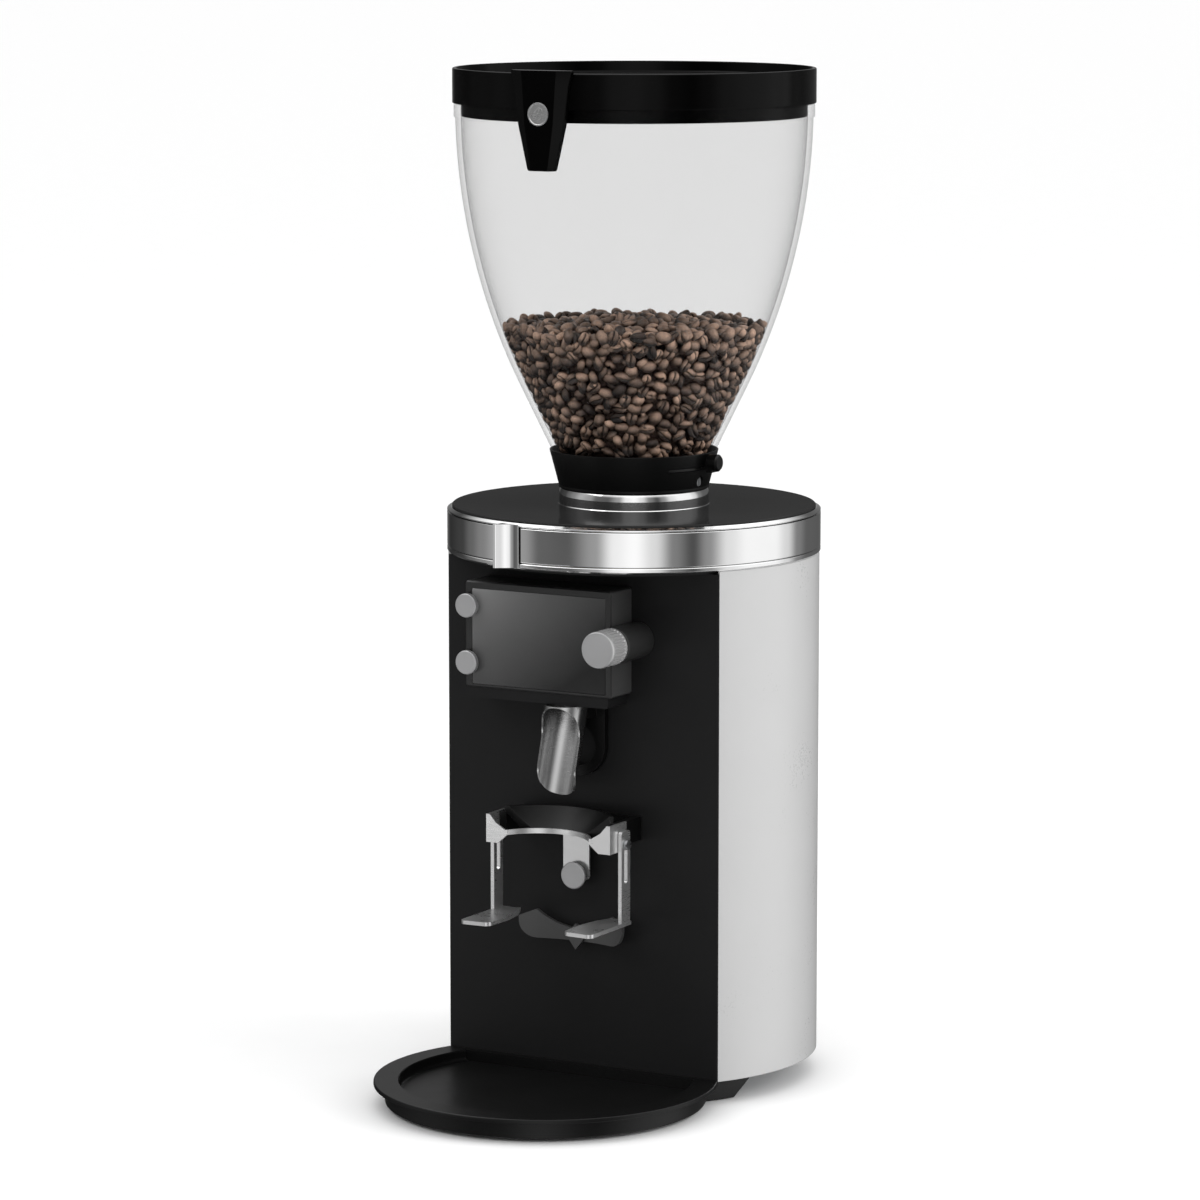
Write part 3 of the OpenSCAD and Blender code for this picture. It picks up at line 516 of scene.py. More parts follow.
def ring_tab(r, low, high):
    """The grip on the adjustment ring, with a sloping back, cut off above and below the ring's band."""
    b = Box("adjustment_ring")
    slope = [(r + 0.1 + (TAB_OUT - 0.6) * (1 - s) ** 1.8, 1.6 + (TAB_LENGTH - 1.6) * s)
             for s in np.linspace(0, 1, 9)]
    outline = [(r - 4, -0.6), (r + TAB_OUT, -0.6), (r + TAB_OUT, 1.0), *slope, (r - 4, TAB_LENGTH)]
    lug = new_object("lug", turned(extruded(outline, b.z0, b.z1), TAB_BEARING))
    combine(lug, lathe(rectangle(r - 8, r + 0.5, b.z0 - 5, low)))
    combine(lug, lathe(rectangle(r - 8, r + 0.5, high, b.z1 + 5)))
    soften(lug, 0.4, 3)
    apply_modifiers(lug)
    return lug


def grind_ring():
    """The adjustment ring: a band with its tab and a narrow slit, carried by a hub on three spokes."""
    b, bezel = Box("adjustment_ring"), Box("top_bezel")
    r, gap = bezel.r, 0.3
    low, high = Box("lower_trim_ring").z1 + gap, bezel.z0 - gap
    band = lathe(rounded(rectangle(r - 7, r, low, high), 0.6))
    hub_low, hub_high = low + 8, low + 14
    hub = lathe(rectangle(58, 65, hub_low, hub_high))
    spokes = [turned(block(64, r - 6, -8, 8, hub_low, hub_high), bearing) for bearing in (30, 150, 270)]
    tab = ring_tab(r, low, high)
    ring = new_object("grind_band", joined(band, hub, *spokes))
    combine_with(ring, tab, "UNION")
    combine(ring, turned(block(r - SLIT_DEPTH, r + 10, -SLIT_HALF, SLIT_HALF, low - 8, b.z1 + 1),
                         SLIT_BEARING))
    soften(ring, 0)
    dress(ring, "adjustment_ring")
    # the walls of the slit get the black rubber material as painted shade, so that it reads as a dark line
    ring.data.materials.append(MATERIALS["rubber"])
    turn = math.radians(SLIT_BEARING)
    for face in ring.data.polygons:
        x, y = face.center.x / MM, face.center.y / MM - COLUMN_Y
        along = x * math.cos(turn) + y * math.sin(turn)
        beside = y * math.cos(turn) - x * math.sin(turn)
        in_slit = r - SLIT_DEPTH - 0.1 < along < r - 0.02 and abs(beside) < SLIT_HALF + 0.05
        face.material_index = int(in_slit)


# ---- hopper, beans and lid ----

SHELL = Box("hopper_shell")
HOPPER_ARC, HOPPER_SLOPE = 412.7, math.radians(25.87)
HOPPER_TOP, HOPPER_WALL, HOPPER_R = SHELL.z1, 3.5, SHELL.r - 0.9


def side_r(z):
    """The hopper's outer radius at a height: a cone that runs into an upright arc."""
    drop = HOPPER_TOP - HOPPER_ARC * math.sin(HOPPER_SLOPE)
    if z < drop:
        return HOPPER_R - HOPPER_ARC * (1 - math.cos(HOPPER_SLOPE)) - math.tan(HOPPER_SLOPE) * (drop - z)
    return HOPPER_R - HOPPER_ARC + math.sqrt(HOPPER_ARC ** 2 - (HOPPER_TOP - z) ** 2)


def hopper():
    """The clear bowl, with a slightly thicker rim."""
    rim = HOPPER_TOP - 8.9
    outer = [(side_r(z), z) for z in np.linspace(SHELL.z0, rim, 40)]
    lip = rounded([outer[-1], (SHELL.r, rim + 0.9), (SHELL.r, HOPPER_TOP),
                   (HOPPER_R - HOPPER_WALL, HOPPER_TOP)], [0, 0.7, 1.0, 0])
    inner = [(side_r(z) - HOPPER_WALL, z) for z in np.linspace(HOPPER_TOP, SHELL.z0, 44)]
    piece("hopper_glass", lathe(outer[:-1] + lip + inner[1:]), "hopper_shell")


def neck():
    """The black cone that holds the bowl, with the shutter's slot and the lock screw's hole."""
    b, shutter, screw = Box("hopper_neck"), Box("shutter_plate"), Box("hopper_lock_screw")
    throat, spigot, waist, seat = 29.0, 41.2, 48.4, Box("hopper_collar").z1
    top, foot = side_r(b.z1), side_r(SHELL.z0)
    # rings beside the slot and the screw keep the cuts' shading off the cone
    beside = [(waist + (top + 1.4 - waist) * (z - seat - 2) / (b.z1 - seat - 2), z)
              for z in (screw.cz + 3.8, shutter.z0 - 0.7, shutter.z1 + 0.7)]
    profile = rounded([(throat, b.z0), (spigot, b.z0), (spigot, seat + 0.1), (waist, seat + 0.1),
                       (waist, seat + 2), *beside, (top + 1.4, b.z1), (top + 0.15, b.z1),
                       (foot + 0.15, SHELL.z0 - 0.1), (throat, SHELL.z0 - 0.1)],
                      [0, 0, 0.2, 0.6, 1, 0, 0, 0, 0.5, 0.2, 0, 0])
    slot = block(-37, 63, shutter.y0 - 0.3, shutter.y1 + 0.3, shutter.z0 - 0.2, shutter.z1 + 0.2)
    hole = placed(lathe([(0, 0), (3.3, 0), (3.3, 14), (0, 14)], 48), sideways(40, screw.cy, screw.cz))
    piece("neck_cone", lathe(profile), "hopper_neck", cuts=[slot, hole])


BEAN_LENGTH, BEAN_WIDTH, BEAN_HEIGHT, CREASE_WIDTH, CREASE_DEPTH = 10.6, 7.6, 5.8, 0.62, 1.5
BEAN_LEVEL, MOUND_HEIGHT, MOUND_R = Box("bean_charge").z1 - 11, 9, 84
# the hopper's inner radius at each millimetre of height, past both ends of the heap
WALL_HEIGHTS = np.arange(390, 520)
WALL_RADII = np.array([side_r(z) - HOPPER_WALL - 0.25 for z in WALL_HEIGHTS])


def mound(r):
    """Height of the heap's top at a radius, or at an array of them."""
    return BEAN_LEVEL + MOUND_HEIGHT * np.cos(np.minimum(r / MOUND_R, 1) * math.pi / 2)


def bean_template(rings=9):
    """One bean along x, domed above and flatter below with a winding groove: points, painted shade for the
    groove, and faces.
    """
    around = np.radians([0, 40, 75, 105, 140, 180, 212, 240, 257, 264, 270, 276, 283, 300, 328])
    points, crease_shades = [], []
    for i in range(rings):
        t = math.cos(math.pi * (i + 1) / (rings + 1))
        s = math.sqrt(1 - t * t)
        for a in around:
            y = BEAN_WIDTH / 2 * s ** 0.85 * math.cos(a)
            up = math.sin(a)
            z = BEAN_HEIGHT * (0.62 * s * up if up > 0 else -0.34 * s ** 0.8 * abs(up) ** 0.55)
            depth = math.exp(-(y / CREASE_WIDTH) ** 2) if up < 0 else 0.0
            z += CREASE_DEPTH * s * depth
            y += 0.5 * math.sin(math.pi * t) * (1 if up < 0 else 0)
            points.append((BEAN_LENGTH / 2 * t, y, z))
            crease_shades.append(depth * min(1, 2 * s))
    n = len(around)
    points += [(BEAN_LENGTH / 2, 0, 0), (-BEAN_LENGTH / 2, 0, 0)]
    crease_shades += [0.2, 0.2]
    faces = [(r * n + k, r * n + (k + 1) % n, (r + 1) * n + (k + 1) % n, (r + 1) * n + k)
             for r in range(rings - 1) for k in range(n)]
    faces += [(k, rings * n, (k + 1) % n) for k in range(n)]
    faces += [((rings - 1) * n + k, (rings - 1) * n + (k + 1) % n, rings * n + 1) for k in range(n)]
    return np.array(points), np.array(crease_shades), faces


def scatter(place, tries, gap):
    """Random places at least gap apart. place() gives a point and the way out of the heap there."""
    kept, cells = [], {}
    for _ in range(tries):
        point, out = place()
        cell = tuple(int(c // gap) for c in point)
        near = [q for dx in (-1, 0, 1) for dy in (-1, 0, 1) for dz in (-1, 0, 1)
                for q in cells.get((cell[0] + dx, cell[1] + dy, cell[2] + dz), ())]
        if all(np.linalg.norm(point - q) > gap for q in near):
            cells.setdefault(cell, []).append(point)
            kept.append((point, out))
    return kept


def bean_pose(out, lean):
    """A turning matrix that shows the groove or the dome outwards, leaning by about lean degrees."""
    showing = -out if rng.random() < 0.55 else out
    showing = showing + rng.normal(0, math.tan(math.radians(lean)), 3)
    showing /= np.linalg.norm(showing)
    along = np.cross(showing, rng.normal(size=3))
    along /= np.linalg.norm(along)
    return np.stack([along, np.cross(showing, along), showing], axis=1)


def pushed_in(body, centre):
    """The bean's points, moved towards the axis so that none comes through the hopper's wall."""
    inwards = np.array([centre[0], centre[1], 0]) / max(math.hypot(centre[0], centre[1]), 1e-6)
    for _ in range(2):
        r = np.hypot(body[:, 0], body[:, 1])
        over = (r - np.interp(body[:, 2], WALL_HEIGHTS, WALL_RADII)).max()
        if over > 0:
            body = body - inwards * over
    return body


def shade_on(body, centre, crease_shades):
    """The painted shade at each point: in the groove, behind neighbours, and on the side turned from the
    light.
    """
    r = np.hypot(body[:, 0], body[:, 1])
    to_wall = np.interp(body[:, 2], WALL_HEIGHTS, WALL_RADII) - r
    to_top = mound(r) + 2 - body[:, 2]
    buried = np.clip((np.minimum(to_wall, to_top) - 1.9) / 3.4, 0, 1)
    facing = (body - centre) / np.linalg.norm(body - centre, axis=1, keepdims=True)
    outward = np.stack([body[:, 0] / r, body[:, 1] / r], axis=1)
    open_side = 0.12 + 0.72 * facing[:, 2] + 0.68 * (facing[:, :2] * outward).sum(axis=1)
    return np.maximum.reduce([crease_shades, buried, 0.92 * (1 - np.clip(open_side, 0, 1))])


def heap(name, places, lean):
    """Beans at the given places, as one piece besides the core that stands for the CAD's bean charge."""
    points, crease_shades, faces = bean_template()
    verts, tints, shades = [], [], []
    for centre, out in places:
        body = points * rng.uniform(0.86, 1.1) * (1, rng.uniform(0.9, 1.1), rng.uniform(0.9, 1.1))
        body = pushed_in(body @ bean_pose(out, lean).T + centre, centre)
        verts.append(body)
        tints.append(np.full(len(points), np.clip(rng.normal(0.45, 0.25), 0, 1)))
        shades.append(shade_on(body, centre, crease_shades))
    count = len(points)
    mesh = bpy.data.meshes.new(name)
    world = np.concatenate(verts) * MM + (0, COLUMN_Y * MM, 0)
    mesh.from_pydata(world.tolist(), [], [[i * count + k for k in face]
                                          for i in range(len(verts)) for face in faces])
    # each bean's tint, and the painted shade at each of its points
    for label, values in (("tint", np.concatenate(tints)), ("painted_shade", np.concatenate(shades))):
        attribute = mesh.attributes.new(label, "FLOAT", "POINT")
        attribute.data.foreach_set("value", values.astype(np.float32))
    mesh.shade_smooth()
    obj = bpy.data.objects.new(name, mesh)
    bpy.context.scene.collection.objects.link(obj)
    return dress(obj, "bean_charge", replace=False)


def wall_place(depth):
    """Places at a depth behind the hopper's wall."""
    def place():
        z = SHELL.z0 + 3 + (BEAN_LEVEL - SHELL.z0 + 1) * math.sqrt(rng.uniform(0.0, 1))
        turn = rng.uniform(0, 2 * math.pi)
        r = side_r(z) - HOPPER_WALL - depth
        level, sunk = math.cos(HOPPER_SLOPE), math.sin(HOPPER_SLOPE)
        out = np.array([math.cos(turn) * level, math.sin(turn) * level, -sunk])
        return np.array([r * math.cos(turn), r * math.sin(turn), z]), out
    return place


def top_place(depth):
    """Places at a depth below the heap's top."""
    def place():
        r = 79 * math.sqrt(rng.uniform(0, 1))
        turn = rng.uniform(0, 2 * math.pi)
        z = mound(r) - depth + rng.uniform(-1.6, 1.6)
        return np.array([r * math.cos(turn), r * math.sin(turn), z]), np.array([0.0, 0.0, 1.0])
    return place


def beans():
    """Loose beans at the wall and on top, round a core, dark with painted shade, that fills the middle of the
    heap.
    """
    layer, throat, low = 6.5, 28.5, Box("bean_charge").z0
    inner = [(side_r(z) - HOPPER_WALL - layer, z) for z in np.linspace(SHELL.z0 + 1, BEAN_LEVEL - 6, 10)]
    crown = [(r, mound(r) - layer) for r in (64, 48, 32, 16, 0)]
    piece("bean_core", lathe([(0, low), (throat, low), (throat, SHELL.z0)] + inner + crown, 96),
          "bean_charge", material="bean_core")
    heap("beans_at_wall", scatter(wall_place(depth=3.4), tries=16000, gap=6.5), lean=24)
    heap("beans_behind", scatter(wall_place(depth=7.0), tries=5000, gap=8.0)
         + scatter(top_place(depth=6.0), tries=1500, gap=8.5), lean=40)
    heap("beans_on_top", scatter(top_place(depth=1.5), tries=6000, gap=7.0), lean=26)


def lid():
    """A shallow dish on top, and a plug below that fits into the bowl."""
    b = Box("hopper_lid")
    low, plug = HOPPER_TOP + 0.4, HOPPER_R - HOPPER_WALL - 0.4
    dish = b.z1 - 7.5
    profile = rounded([
        (0, dish - 3), (plug - 3, dish - 3), (plug - 3, b.z0), (plug, b.z0), (plug, low), (b.r, low),
        (b.r, b.z1), (b.r - 2.4, b.z1), (b.r - 3.6, dish), (b.r - 10, dish), (b.r - 11, dish - 0.8),
        (0, dish - 0.8)], [0, 1, 0.6, 0.6, 0, 0.8, 1.1, 0.8, 2.0, 0.6, 0.6, 0], 5)
    piece("lid_cap", lathe(profile), "hopper_lid")


def clip():
    """The tapering tongue on the lid's edge, which hangs down over the bowl."""
    b = Box("lid_clip")
    back, shoulder = b.y1, b.y0 + 3.2

    def section(z, half, flat):
        return [(x, y, z) for x, y in rounded([
            (-half, back), (half, back), (half, shoulder), (flat, b.y0), (-flat, b.y0), (-half, shoulder)],
            [0.2, 0.2, 0.8, 1.6, 1.6, 0.8], 4)]

    # height, half the width at the back, and half the width of the flat front
    levels = [(b.z0, 9.2, 6.0), (b.z0 + 1.2, 9.9, 6.4), (618, 16.5, 10.2), (641, 19.3, 11.6),
              (b.z1 - 0.8, 21.6, 12.4), (b.z1, 21.2, 12.0)]
    round_shell = lathe(rectangle(60, SHELL.r + 0.6, 570, HOPPER_TOP + 0.3))
    piece("clip_body", lofted([section(*level) for level in levels]), "lid_clip", bevel=0.3,
          cuts=[round_shell])


def badge():
    """A plain round badge with a bean in relief."""
    b = Box("lid_badge")
    r, thick = b.r, b.y1 - b.y0
    disc = lathe(rounded([(0, -0.3), (r, -0.3), (r, thick), (r - 0.7, thick), (r - 1.0, thick - 0.35),
                          (0, thick - 0.35)], [0, 0, 0.25, 0.1, 0.1, 0], 3), 96)
    lobe = [(0.35 + 2.4 * math.cos(t), 4.3 * math.sin(t)) for t in np.linspace(-math.pi / 2, math.pi / 2, 17)]
    half = lofted([[(x * k, y * k, z) for x, y in lobe]
                   for k, z in ((1.0, thick - 0.5), (0.96, thick - 0.15), (0.8, thick - 0.02))])
    other = mirrored(half)
    shape = joined(disc, turned(half, -25), turned(other, -25))
    piece("badge_disc", placed(shape, front(b.cx, b.cz, b.y1)), "lid_badge")


# ---- display module and controls ----

def display():
    """The screen's case with a chin below it, let in for the glass, the knob's boss and the outlet."""
    b, glass, boss, plate = (Box(n) for n in ("display_housing", "display_glass", "knob_boss", "outlet_boss"))
    depth, low, slope, play, room_play = b.y1 - b.y0, glass.z0 - 2.1, 0.9, 0.15, 0.3
    outline = rounded(rectangle(b.x0, b.x1, low, b.z1), 2.2, 5)
    inner = rounded(rectangle(b.x0 + slope, b.x1 - slope, low + slope, b.z1 - slope), 1.6, 5)
    chin = placed(extruded(rounded(rectangle(b.x0 + 1, b.x1 - 3, b.z0, low + 5), 1.8, 5), 0, depth - 1),
                  front(0, 0, b.y1))
    room = block(plate.x0 - room_play, plate.x1 + room_play, b.y1 - 5.3, b.y1 + 1, b.z0 - 1,
                 plate.z1 + room_play)
    sections = [[(x, y, z) for x, y in edge]
                for z, edge in ((0, outline), (depth - slope, outline), (depth, inner))]
    opening = rectangle(glass.x0 - play, glass.x1 + play, glass.z0 - play, glass.z1 + play)
    window = placed(extruded(rounded(opening, 0.8), -3, 1), front(0, 0, b.y0))
    notch = placed(lathe(rectangle(0, boss.r + play, -2, 60), 96), front(boss.cx, boss.cz, b.y1))
    case = piece("display_case", placed(lofted(sections), front(0, 0, b.y1)), "display_housing", bevel=0.25,
                 adds=[chin], cuts=[window, notch, room], material="case_plastic")
    # the top and the right side catch more light, and the chin is as dull as the panel
    case.data.materials.append(MATERIALS["case_side"])
    case.data.materials.append(MATERIALS["black_panel"])
    for face in case.data.polygons:
        if face.center.z < (low - 0.2) * MM:
            face.material_index = 2
        elif max(face.normal.x, face.normal.z) > 0.9 and face.center.y > (b.y0 + COLUMN_Y + 1) * MM:
            face.material_index = 1
    pane = extruded(rounded(rectangle(glass.x0, glass.x1, glass.z0, glass.z1), 0.7),
                    0, glass.y1 - glass.y0 - 0.1)
    piece("display_pane", placed(pane, front(0, 0, glass.y1)), "display_glass", bevel=0.3, cuts=[notch])


def turned_button(name, node, stem_r, cap):
    """A round button: a cap of that thickness, with a soft edge, on a stem."""
    b = Box(node)
    r, length, edge = b.r, b.y1 - b.y0, 0.8
    face = [(r, length - cap), (r, length - edge), *arc(r - edge, length - edge, edge, 0, 90, 6)]
    profile = [(0, 0), (stem_r, 0), (stem_r, length - cap), *face, (r * 0.6, length), (0, length)]
    piece(name, placed(lathe(profile, 96), front(b.cx, b.cz, b.y1)), node)


def knob():
    """The black boss on the case and the knob's fluted sleeve in front of it."""
    boss, b = Box("knob_boss"), Box("selector_knob")
    tube = rounded(rectangle(0, boss.r, 0, boss.y1 - boss.y0), [0, 0.4, 0.8, 0])
    piece("knob_base", placed(lathe(tube, 128), front(boss.cx, boss.cz, boss.y1)), "knob_boss",
          material="boss_plastic")
    flutes, per_flute, length = 30, 8, b.y1 - b.y0
    angles = np.arange(flutes * per_flute) * 2 * math.pi / (flutes * per_flute)

    def ring(z, r, flute):
        radii = r - flute * (0.5 + 0.5 * np.cos(flutes * angles)) ** 2
        return [(x, y, z) for x, y in zip(radii * np.cos(angles), radii * np.sin(angles))]

    # distance from the case, radius, and depth of the flutes
    deep = 0.75
    levels = [(0, b.r - 0.5, 0), (0.5, b.r, 0), (1.6, b.r, 0), (2.2, b.r, deep), (length - 3.6, b.r, deep),
              (length - 3.0, b.r, 0), (length - 1.0, b.r, 0), (length - 0.3, b.r - 0.3, 0),
              (length, b.r - 1.0, 0), (length - 0.25, b.r - 1.5, 0), (length - 0.25, 2, 0)]
    sleeve = piece("knob_sleeve", placed(lofted([ring(*level) for level in levels]), front(b.cx, b.cz, b.y1)),
                   "selector_knob", material="knob_steel")
    # the front face is duller than the fluted side
    sleeve.data.materials.append(MATERIALS["knob_aluminium"])
    for face in sleeve.data.polygons:
        if abs(face.normal.y) > 0.7 and face.center.y < (b.y0 + COLUMN_Y + 1) * MM:
            face.material_index = 1


# ---- spout, fork and tray ----

def spout():
    """A tilted tube whose mouth runs in an S from its front wall down to its tip."""
    r, wall, tip, tilt = 14.0, 1.1, -28.0, math.radians(19)
    steps, rows = 144, 10
    middle_y, middle_z, ceiling = -96.4, 225, Box("coffee_spout").z1
    front_r, front_z, back_r, back_z = 23.6, 1.4, 20, -8.4

    def edge(y):
        """Height of the mouth's edge: an arc on the front half and another on the back half."""
        if y < 0:
            return front_z + math.sqrt(front_r ** 2 - (y + front_r) ** 2)
        return max(tip, back_z - math.sqrt(back_r ** 2 - (y - back_r) ** 2))

    verts, faces = [], []
    for radius in (r, r - wall):
        for k in range(steps):
            a = 2 * math.pi * (k + 0.5) / steps
            low = edge(r * math.sin(a))
            top = (ceiling - middle_z + radius * math.sin(a) * math.sin(tilt)) / math.cos(tilt)
            verts += [(radius * math.cos(a), radius * math.sin(a), low + (top - low) * j / rows)
                      for j in range(rows + 1)]
    span, col = steps * (rows + 1), rows + 1
    for k in range(steps):
        here, there = k * col, (k + 1) % steps * col
        for j in range(rows):
            faces.append([here + j, there + j, there + j + 1, here + j + 1])
            faces.append([span + here + j, span + here + j + 1, span + there + j + 1, span + there + j])
        faces.append([here, span + here, span + there, there])
        faces.append([here + rows, there + rows, span + there + rows, span + here + rows])
    leaning = Matrix.Translation((0, middle_y, middle_z)) @ Matrix.Rotation(-tilt, 4, "X")
    piece("spout_tube", placed((verts, faces), leaning), "coffee_spout", bevel=0.35, segments=3,
          material="spout_steel")


def fork_arm(side):
    """A flat arm with a long slot, on a flat prong that reaches forwards. The left one is mirrored."""
    b = Box("fork_arm_right")
    thick, arm_y0, arm_y1 = 2.4, -101.0, -90.0
    slot_r, slot_low, slot_high = 2.2, 145.1, 167.8
    x0, x1 = b.x1 - thick, b.x1
    strip = rounded(rectangle(arm_y0, arm_y1, b.z0 + 1.5, b.z1), [0, 0, 2.5, 2.5], 6)
    arm = placed(extruded(strip, 0, thick), sideways(x0, 0, 0))
    mid = (arm_y0 + arm_y1) / 2
    opening = rounded(rectangle(mid - slot_r, mid + slot_r, slot_low - slot_r, slot_high + slot_r), slot_r, 8)
    slot = placed(extruded(opening, -2, 6), sideways(x0, 0, 0))
    prong = [(33, b.y1), (28.5, -100), (26, -116), *arc(31, -135, 4.2, 175, 262, 8),
             *arc(43.7, -136, 4, 275, 352, 8), (x1, arm_y0), (x1, b.y1)]
    plate = extruded(prong, b.z0, b.z0 + thick)
    if side == "left":
        arm, plate, slot = mirrored(arm), mirrored(plate), mirrored(slot)
    piece("fork_" + side, plate, "fork_arm_" + side, adds=[arm], cuts=[slot])


def tray():
    """A round tray, dished above and hollow below, cut straight at the back, with a tongue there."""
    b = Box("grounds_tray")
    wall_r, inner_r, floor, ridge, lip = 101.7, 92.9, 9.0, 5.0, 3
    tongue_half, tongue_low, tongue_high = 49.9, 10.4, 14.3
    centre = (0, b.y0 + b.r)
    back = Box("front_panel").y0 - 0.4
    body = rounded([(0, b.z0), (wall_r, b.z0), (wall_r, b.z1 - lip), (b.r, b.z1 - lip), (b.r, b.z1),
                    (0, b.z1)], [0, 1.2, 0.8, 0.8, 1.0, 0], 5)
    hollow = rounded([(0, floor), (inner_r, floor), (inner_r, b.z1 - 0.6), (inner_r + 0.7, b.z1 + 0.1),
                      (inner_r + 0.7, 40), (0, 40)], [0, 2.5, 0.5, 0, 0, 0], 5)

    def cut_straight(name, profile, y):
        """A turned body about the tray's centre, without what lies behind y."""
        turned_body = new_object(name, lathe(profile, centre=centre))
        combine(turned_body, block(-150, 150, y, 200, -5, 60))
        return turned_body

    dish = cut_straight("dish", hollow, back - ridge)
    under = cut_straight("under", rectangle(0, wall_r - 3, 0, floor - 2.5), back - ridge)
    obj = cut_straight("tray_body", body, back)
    combine_with(obj, dish)
    combine_with(obj, under)
    combine(obj, block(-tongue_half, tongue_half, back - 3, b.y1, tongue_low, tongue_high), "UNION")
    soften(obj, 0)
    dress(obj, "grounds_tray")


# CAD nodes that are shown with their edges rounded, and by how much
EDGES = {
    "front_panel": 0.5, "outlet_boss": 1.2, "coffee_funnel": 0.4, "holder_bracket": 0.3,
    "bracket_screws": 0.3, "start_switch_plate": 0.4, "holder_cradle": 0.6, "rubber_feet": 0.8,
    "base_plate": 0.3, "inlet_plate": 0.4, "power_inlet": 0.3, "power_rocker": 0.6, "shutter_plate": 0.3,
    "shutter_knob": 0.6, "hopper_lock_screw": 0.3,
}


# ---- studio and camera ----

# where the camera stands, in metres, and the point that it looks at: beside the column's axis
AZIMUTH, PITCH, DISTANCE, LENS = math.radians(29.53), math.radians(8.24), 3.228, 150.3
AIM_HEIGHT, AIM_LEFT = 0.3072, 0.0218
CAMERA_BEARING = AZIMUTH - math.pi / 2
# brightness of the surroundings: degrees round from the camera, and the grey there
BANDS = [(0, 1.05), (12, 0.75), (24, 0.22), (36, 0.08), (46, 0.28), (60, 0.8), (74, 1.0), (96, 0.98),
         (108, 0.72), (120, 0.22), (134, 0.11), (160, 0.10), (180, 0.24), (204, 0.03), (228, 0.05),
         (240, 0.13), (252, 0.22), (270, 0.42), (288, 0.32), (300, 0.12), (318, 0.10), (336, 0.33),
         (348, 0.92), (360, 1.05)]
OVERHEAD, KEY_WATTS, FILL_WATTS, STRIP_WATTS = 1.45, 11.5, 35, 0.5
# the strip light aims at the front panel, whose y is measured from the column's axis
PANEL_Y, STRIP_TURN = -0.11, math.radians(59)


def surroundings():
    """Soft light all round with broad brighter and darker bands, and a bright ceiling."""
    world = bpy.data.worlds.new("studio")
    bpy.context.scene.world = world
    world.use_nodes = True
    tree = world.node_tree
    coords = tree.nodes.new("ShaderNodeTexCoord")
    split = tree.nodes.new("ShaderNodeSeparateXYZ")
    tree.links.new(coords.outputs["Generated"], split.inputs["Vector"])

    def math_node(operation, first, second):
        node = tree.nodes.new("ShaderNodeMath")
        node.operation = operation
        for socket, value in zip(node.inputs, (first, second)):
            if isinstance(value, (int, float)):
                socket.default_value = value
            else:
                tree.links.new(value, socket)
        return node.outputs[0]

    def ramp(stops, value):
        node = tree.nodes.new("ShaderNodeValToRGB")
        node.color_ramp.interpolation = "EASE"
        while len(node.color_ramp.elements) < len(stops):
            node.color_ramp.elements.new(0.5)
        for element, (position, level) in zip(node.color_ramp.elements, stops):
            element.position, element.color = position, (*grey(level), 1)
        tree.links.new(value, node.inputs["Fac"])
        return node.outputs["Color"]

    # bearing round the object from where the camera stands, as a share of a turn
    bearing = math_node("ARCTAN2", split.outputs["Y"], split.outputs["X"])
    turns = math_node("DIVIDE", math_node("SUBTRACT", bearing, CAMERA_BEARING), 2 * math.pi)
    bands = ramp([(degrees / 360, level) for degrees, level in BANDS], math_node("FRACT", turns, 0))
    above = ramp([(0.35, 0), (0.75, 1)], split.outputs["Z"])
    mix = tree.nodes.new("ShaderNodeMix")
    mix.data_type = "RGBA"
    tree.links.new(above, mix.inputs["Factor"])
    tree.links.new(bands, mix.inputs["A"])
    mix.inputs["B"].default_value = (*grey(OVERHEAD), 1)
    tree.links.new(mix.outputs["Result"], tree.nodes["Background"].inputs["Color"])


def area_light(name, size, watts, place, aim):
    """A square soft light at a place, turned towards the point it aims at."""
    light = bpy.data.lights.new(name, "AREA")
    light.size, light.energy = size, watts
    obj = bpy.data.objects.new(name, light)
    obj.location = place
    obj.rotation_mode = "QUATERNION"
    obj.rotation_quaternion = (Vector(aim) - obj.location).to_track_quat("-Z", "Y")
    bpy.context.scene.collection.objects.link(obj)
    return obj


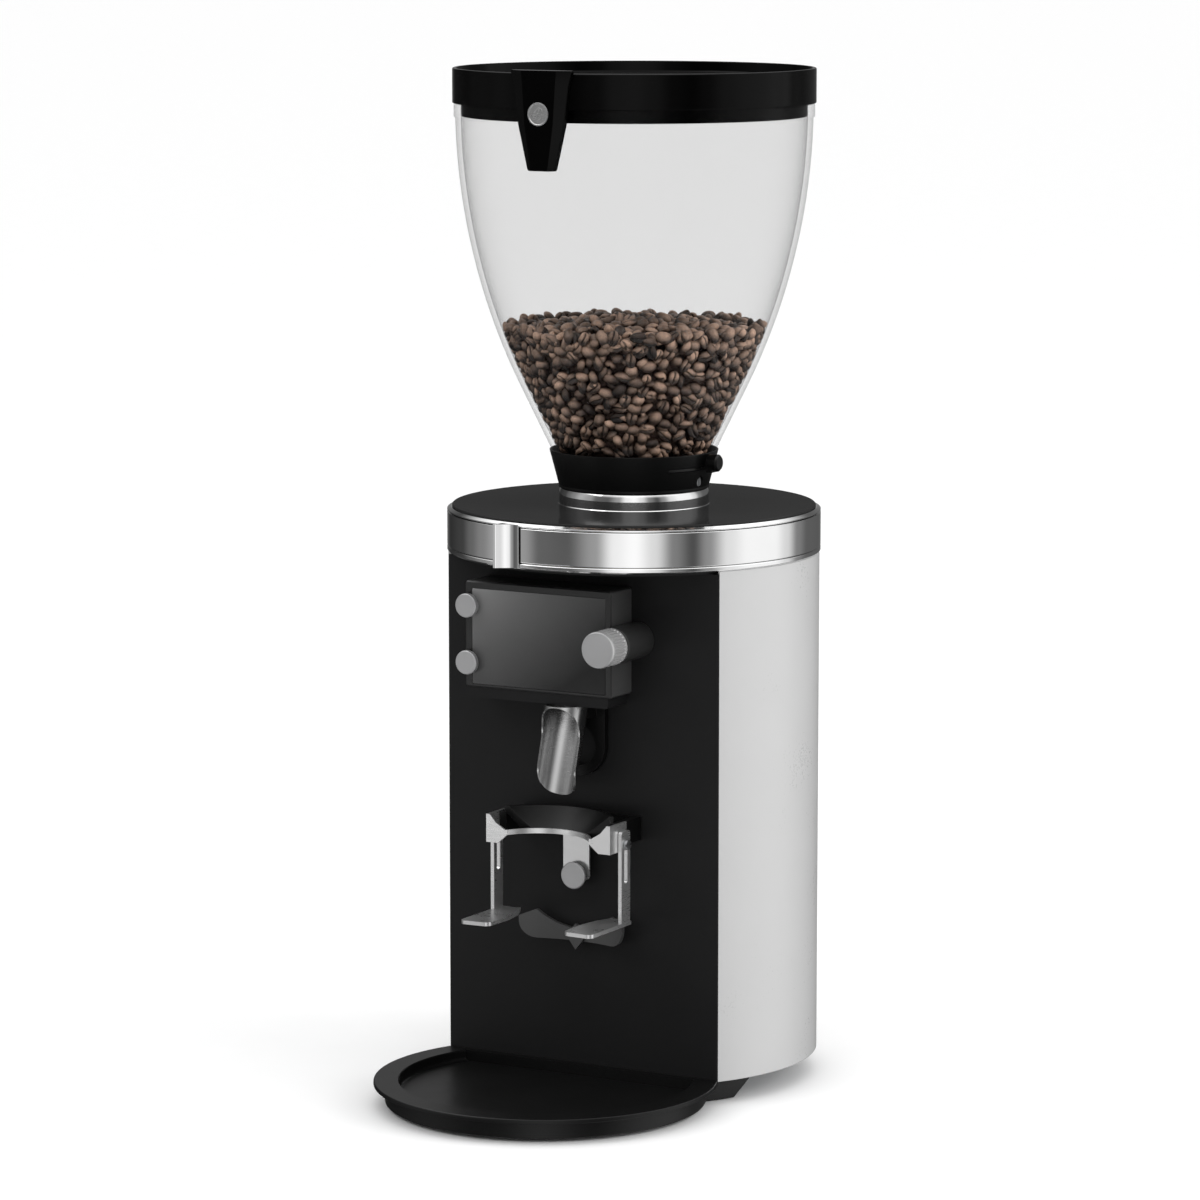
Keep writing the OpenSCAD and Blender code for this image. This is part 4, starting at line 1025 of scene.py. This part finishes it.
def lights():
    """A large soft key light, a fill light, and a low strip that gives the fork's steel its pale face."""
    area_light("key", 1.6, KEY_WATTS, (-1.5, -1.6, 2.4), (0, 0, 0.3))
    fill = area_light("fill", 1.8, FILL_WATTS, (2.6, 0.5, 1.1), (0, 0, 0.3))
    fill.visible_glossy = False
    away, panel_y = CAMERA_BEARING - STRIP_TURN, COLUMN_Y * MM + PANEL_Y
    strip = area_light("strip", 0.7, STRIP_WATTS, (math.cos(away), panel_y + math.sin(away), 0.02),
                       (0, panel_y, 0.16))
    strip.data.shape, strip.data.size_y = "RECTANGLE", 0.2
    strip.visible_camera = False


def worktop():
    """A plain pale floor, a little below the feet."""
    half, drop = 40000, 0.2
    corners = [(x, y, -drop) for x, y in rectangle(-half, half, -half, half)]
    floor = new_object("floor", (corners, [[0, 1, 2, 3]]))
    floor.data.materials.append(surface("floor", grey(0.93), 0.7, specular=0.2, grain=40, shade=0.005))
    floor.visible_glossy = False


def camera():
    data = bpy.data.cameras.new("camera")
    data.lens, data.sensor_width = LENS, 36
    data.clip_end = 100
    cam = bpy.data.objects.new("camera", data)
    level = math.cos(PITCH)
    back = Vector((math.sin(AZIMUTH) * level, -math.cos(AZIMUTH) * level, math.sin(PITCH)))
    right = Vector((math.cos(AZIMUTH), math.sin(AZIMUTH), 0))
    cam.location = Vector((0, COLUMN_Y * MM, AIM_HEIGHT)) - right * AIM_LEFT + back * DISTANCE
    cam.rotation_mode = "QUATERNION"
    cam.rotation_quaternion = (-back).to_track_quat("-Z", "Y")
    bpy.context.scene.collection.objects.link(cam)
    bpy.context.scene.camera = cam


bpy.context.scene.view_settings.view_transform = "Standard"
camera()
surroundings()
lights()
worktop()
housing()
top_stack()
collar()
grind_ring()
hopper()
neck()
beans()
lid()
clip()
badge()
display()
turned_button("menu_cap_upper", "menu_button_upper", 4, 3.1)
turned_button("menu_cap_lower", "menu_button_lower", 4, 3.1)
turned_button("start_cap", "start_button", 3, 1.6)
knob()
spout()
fork_arm("left")
fork_arm("right")
tray()
for node, width in EDGES.items():
    soften(frame["nodes"][node], width, weld=True)
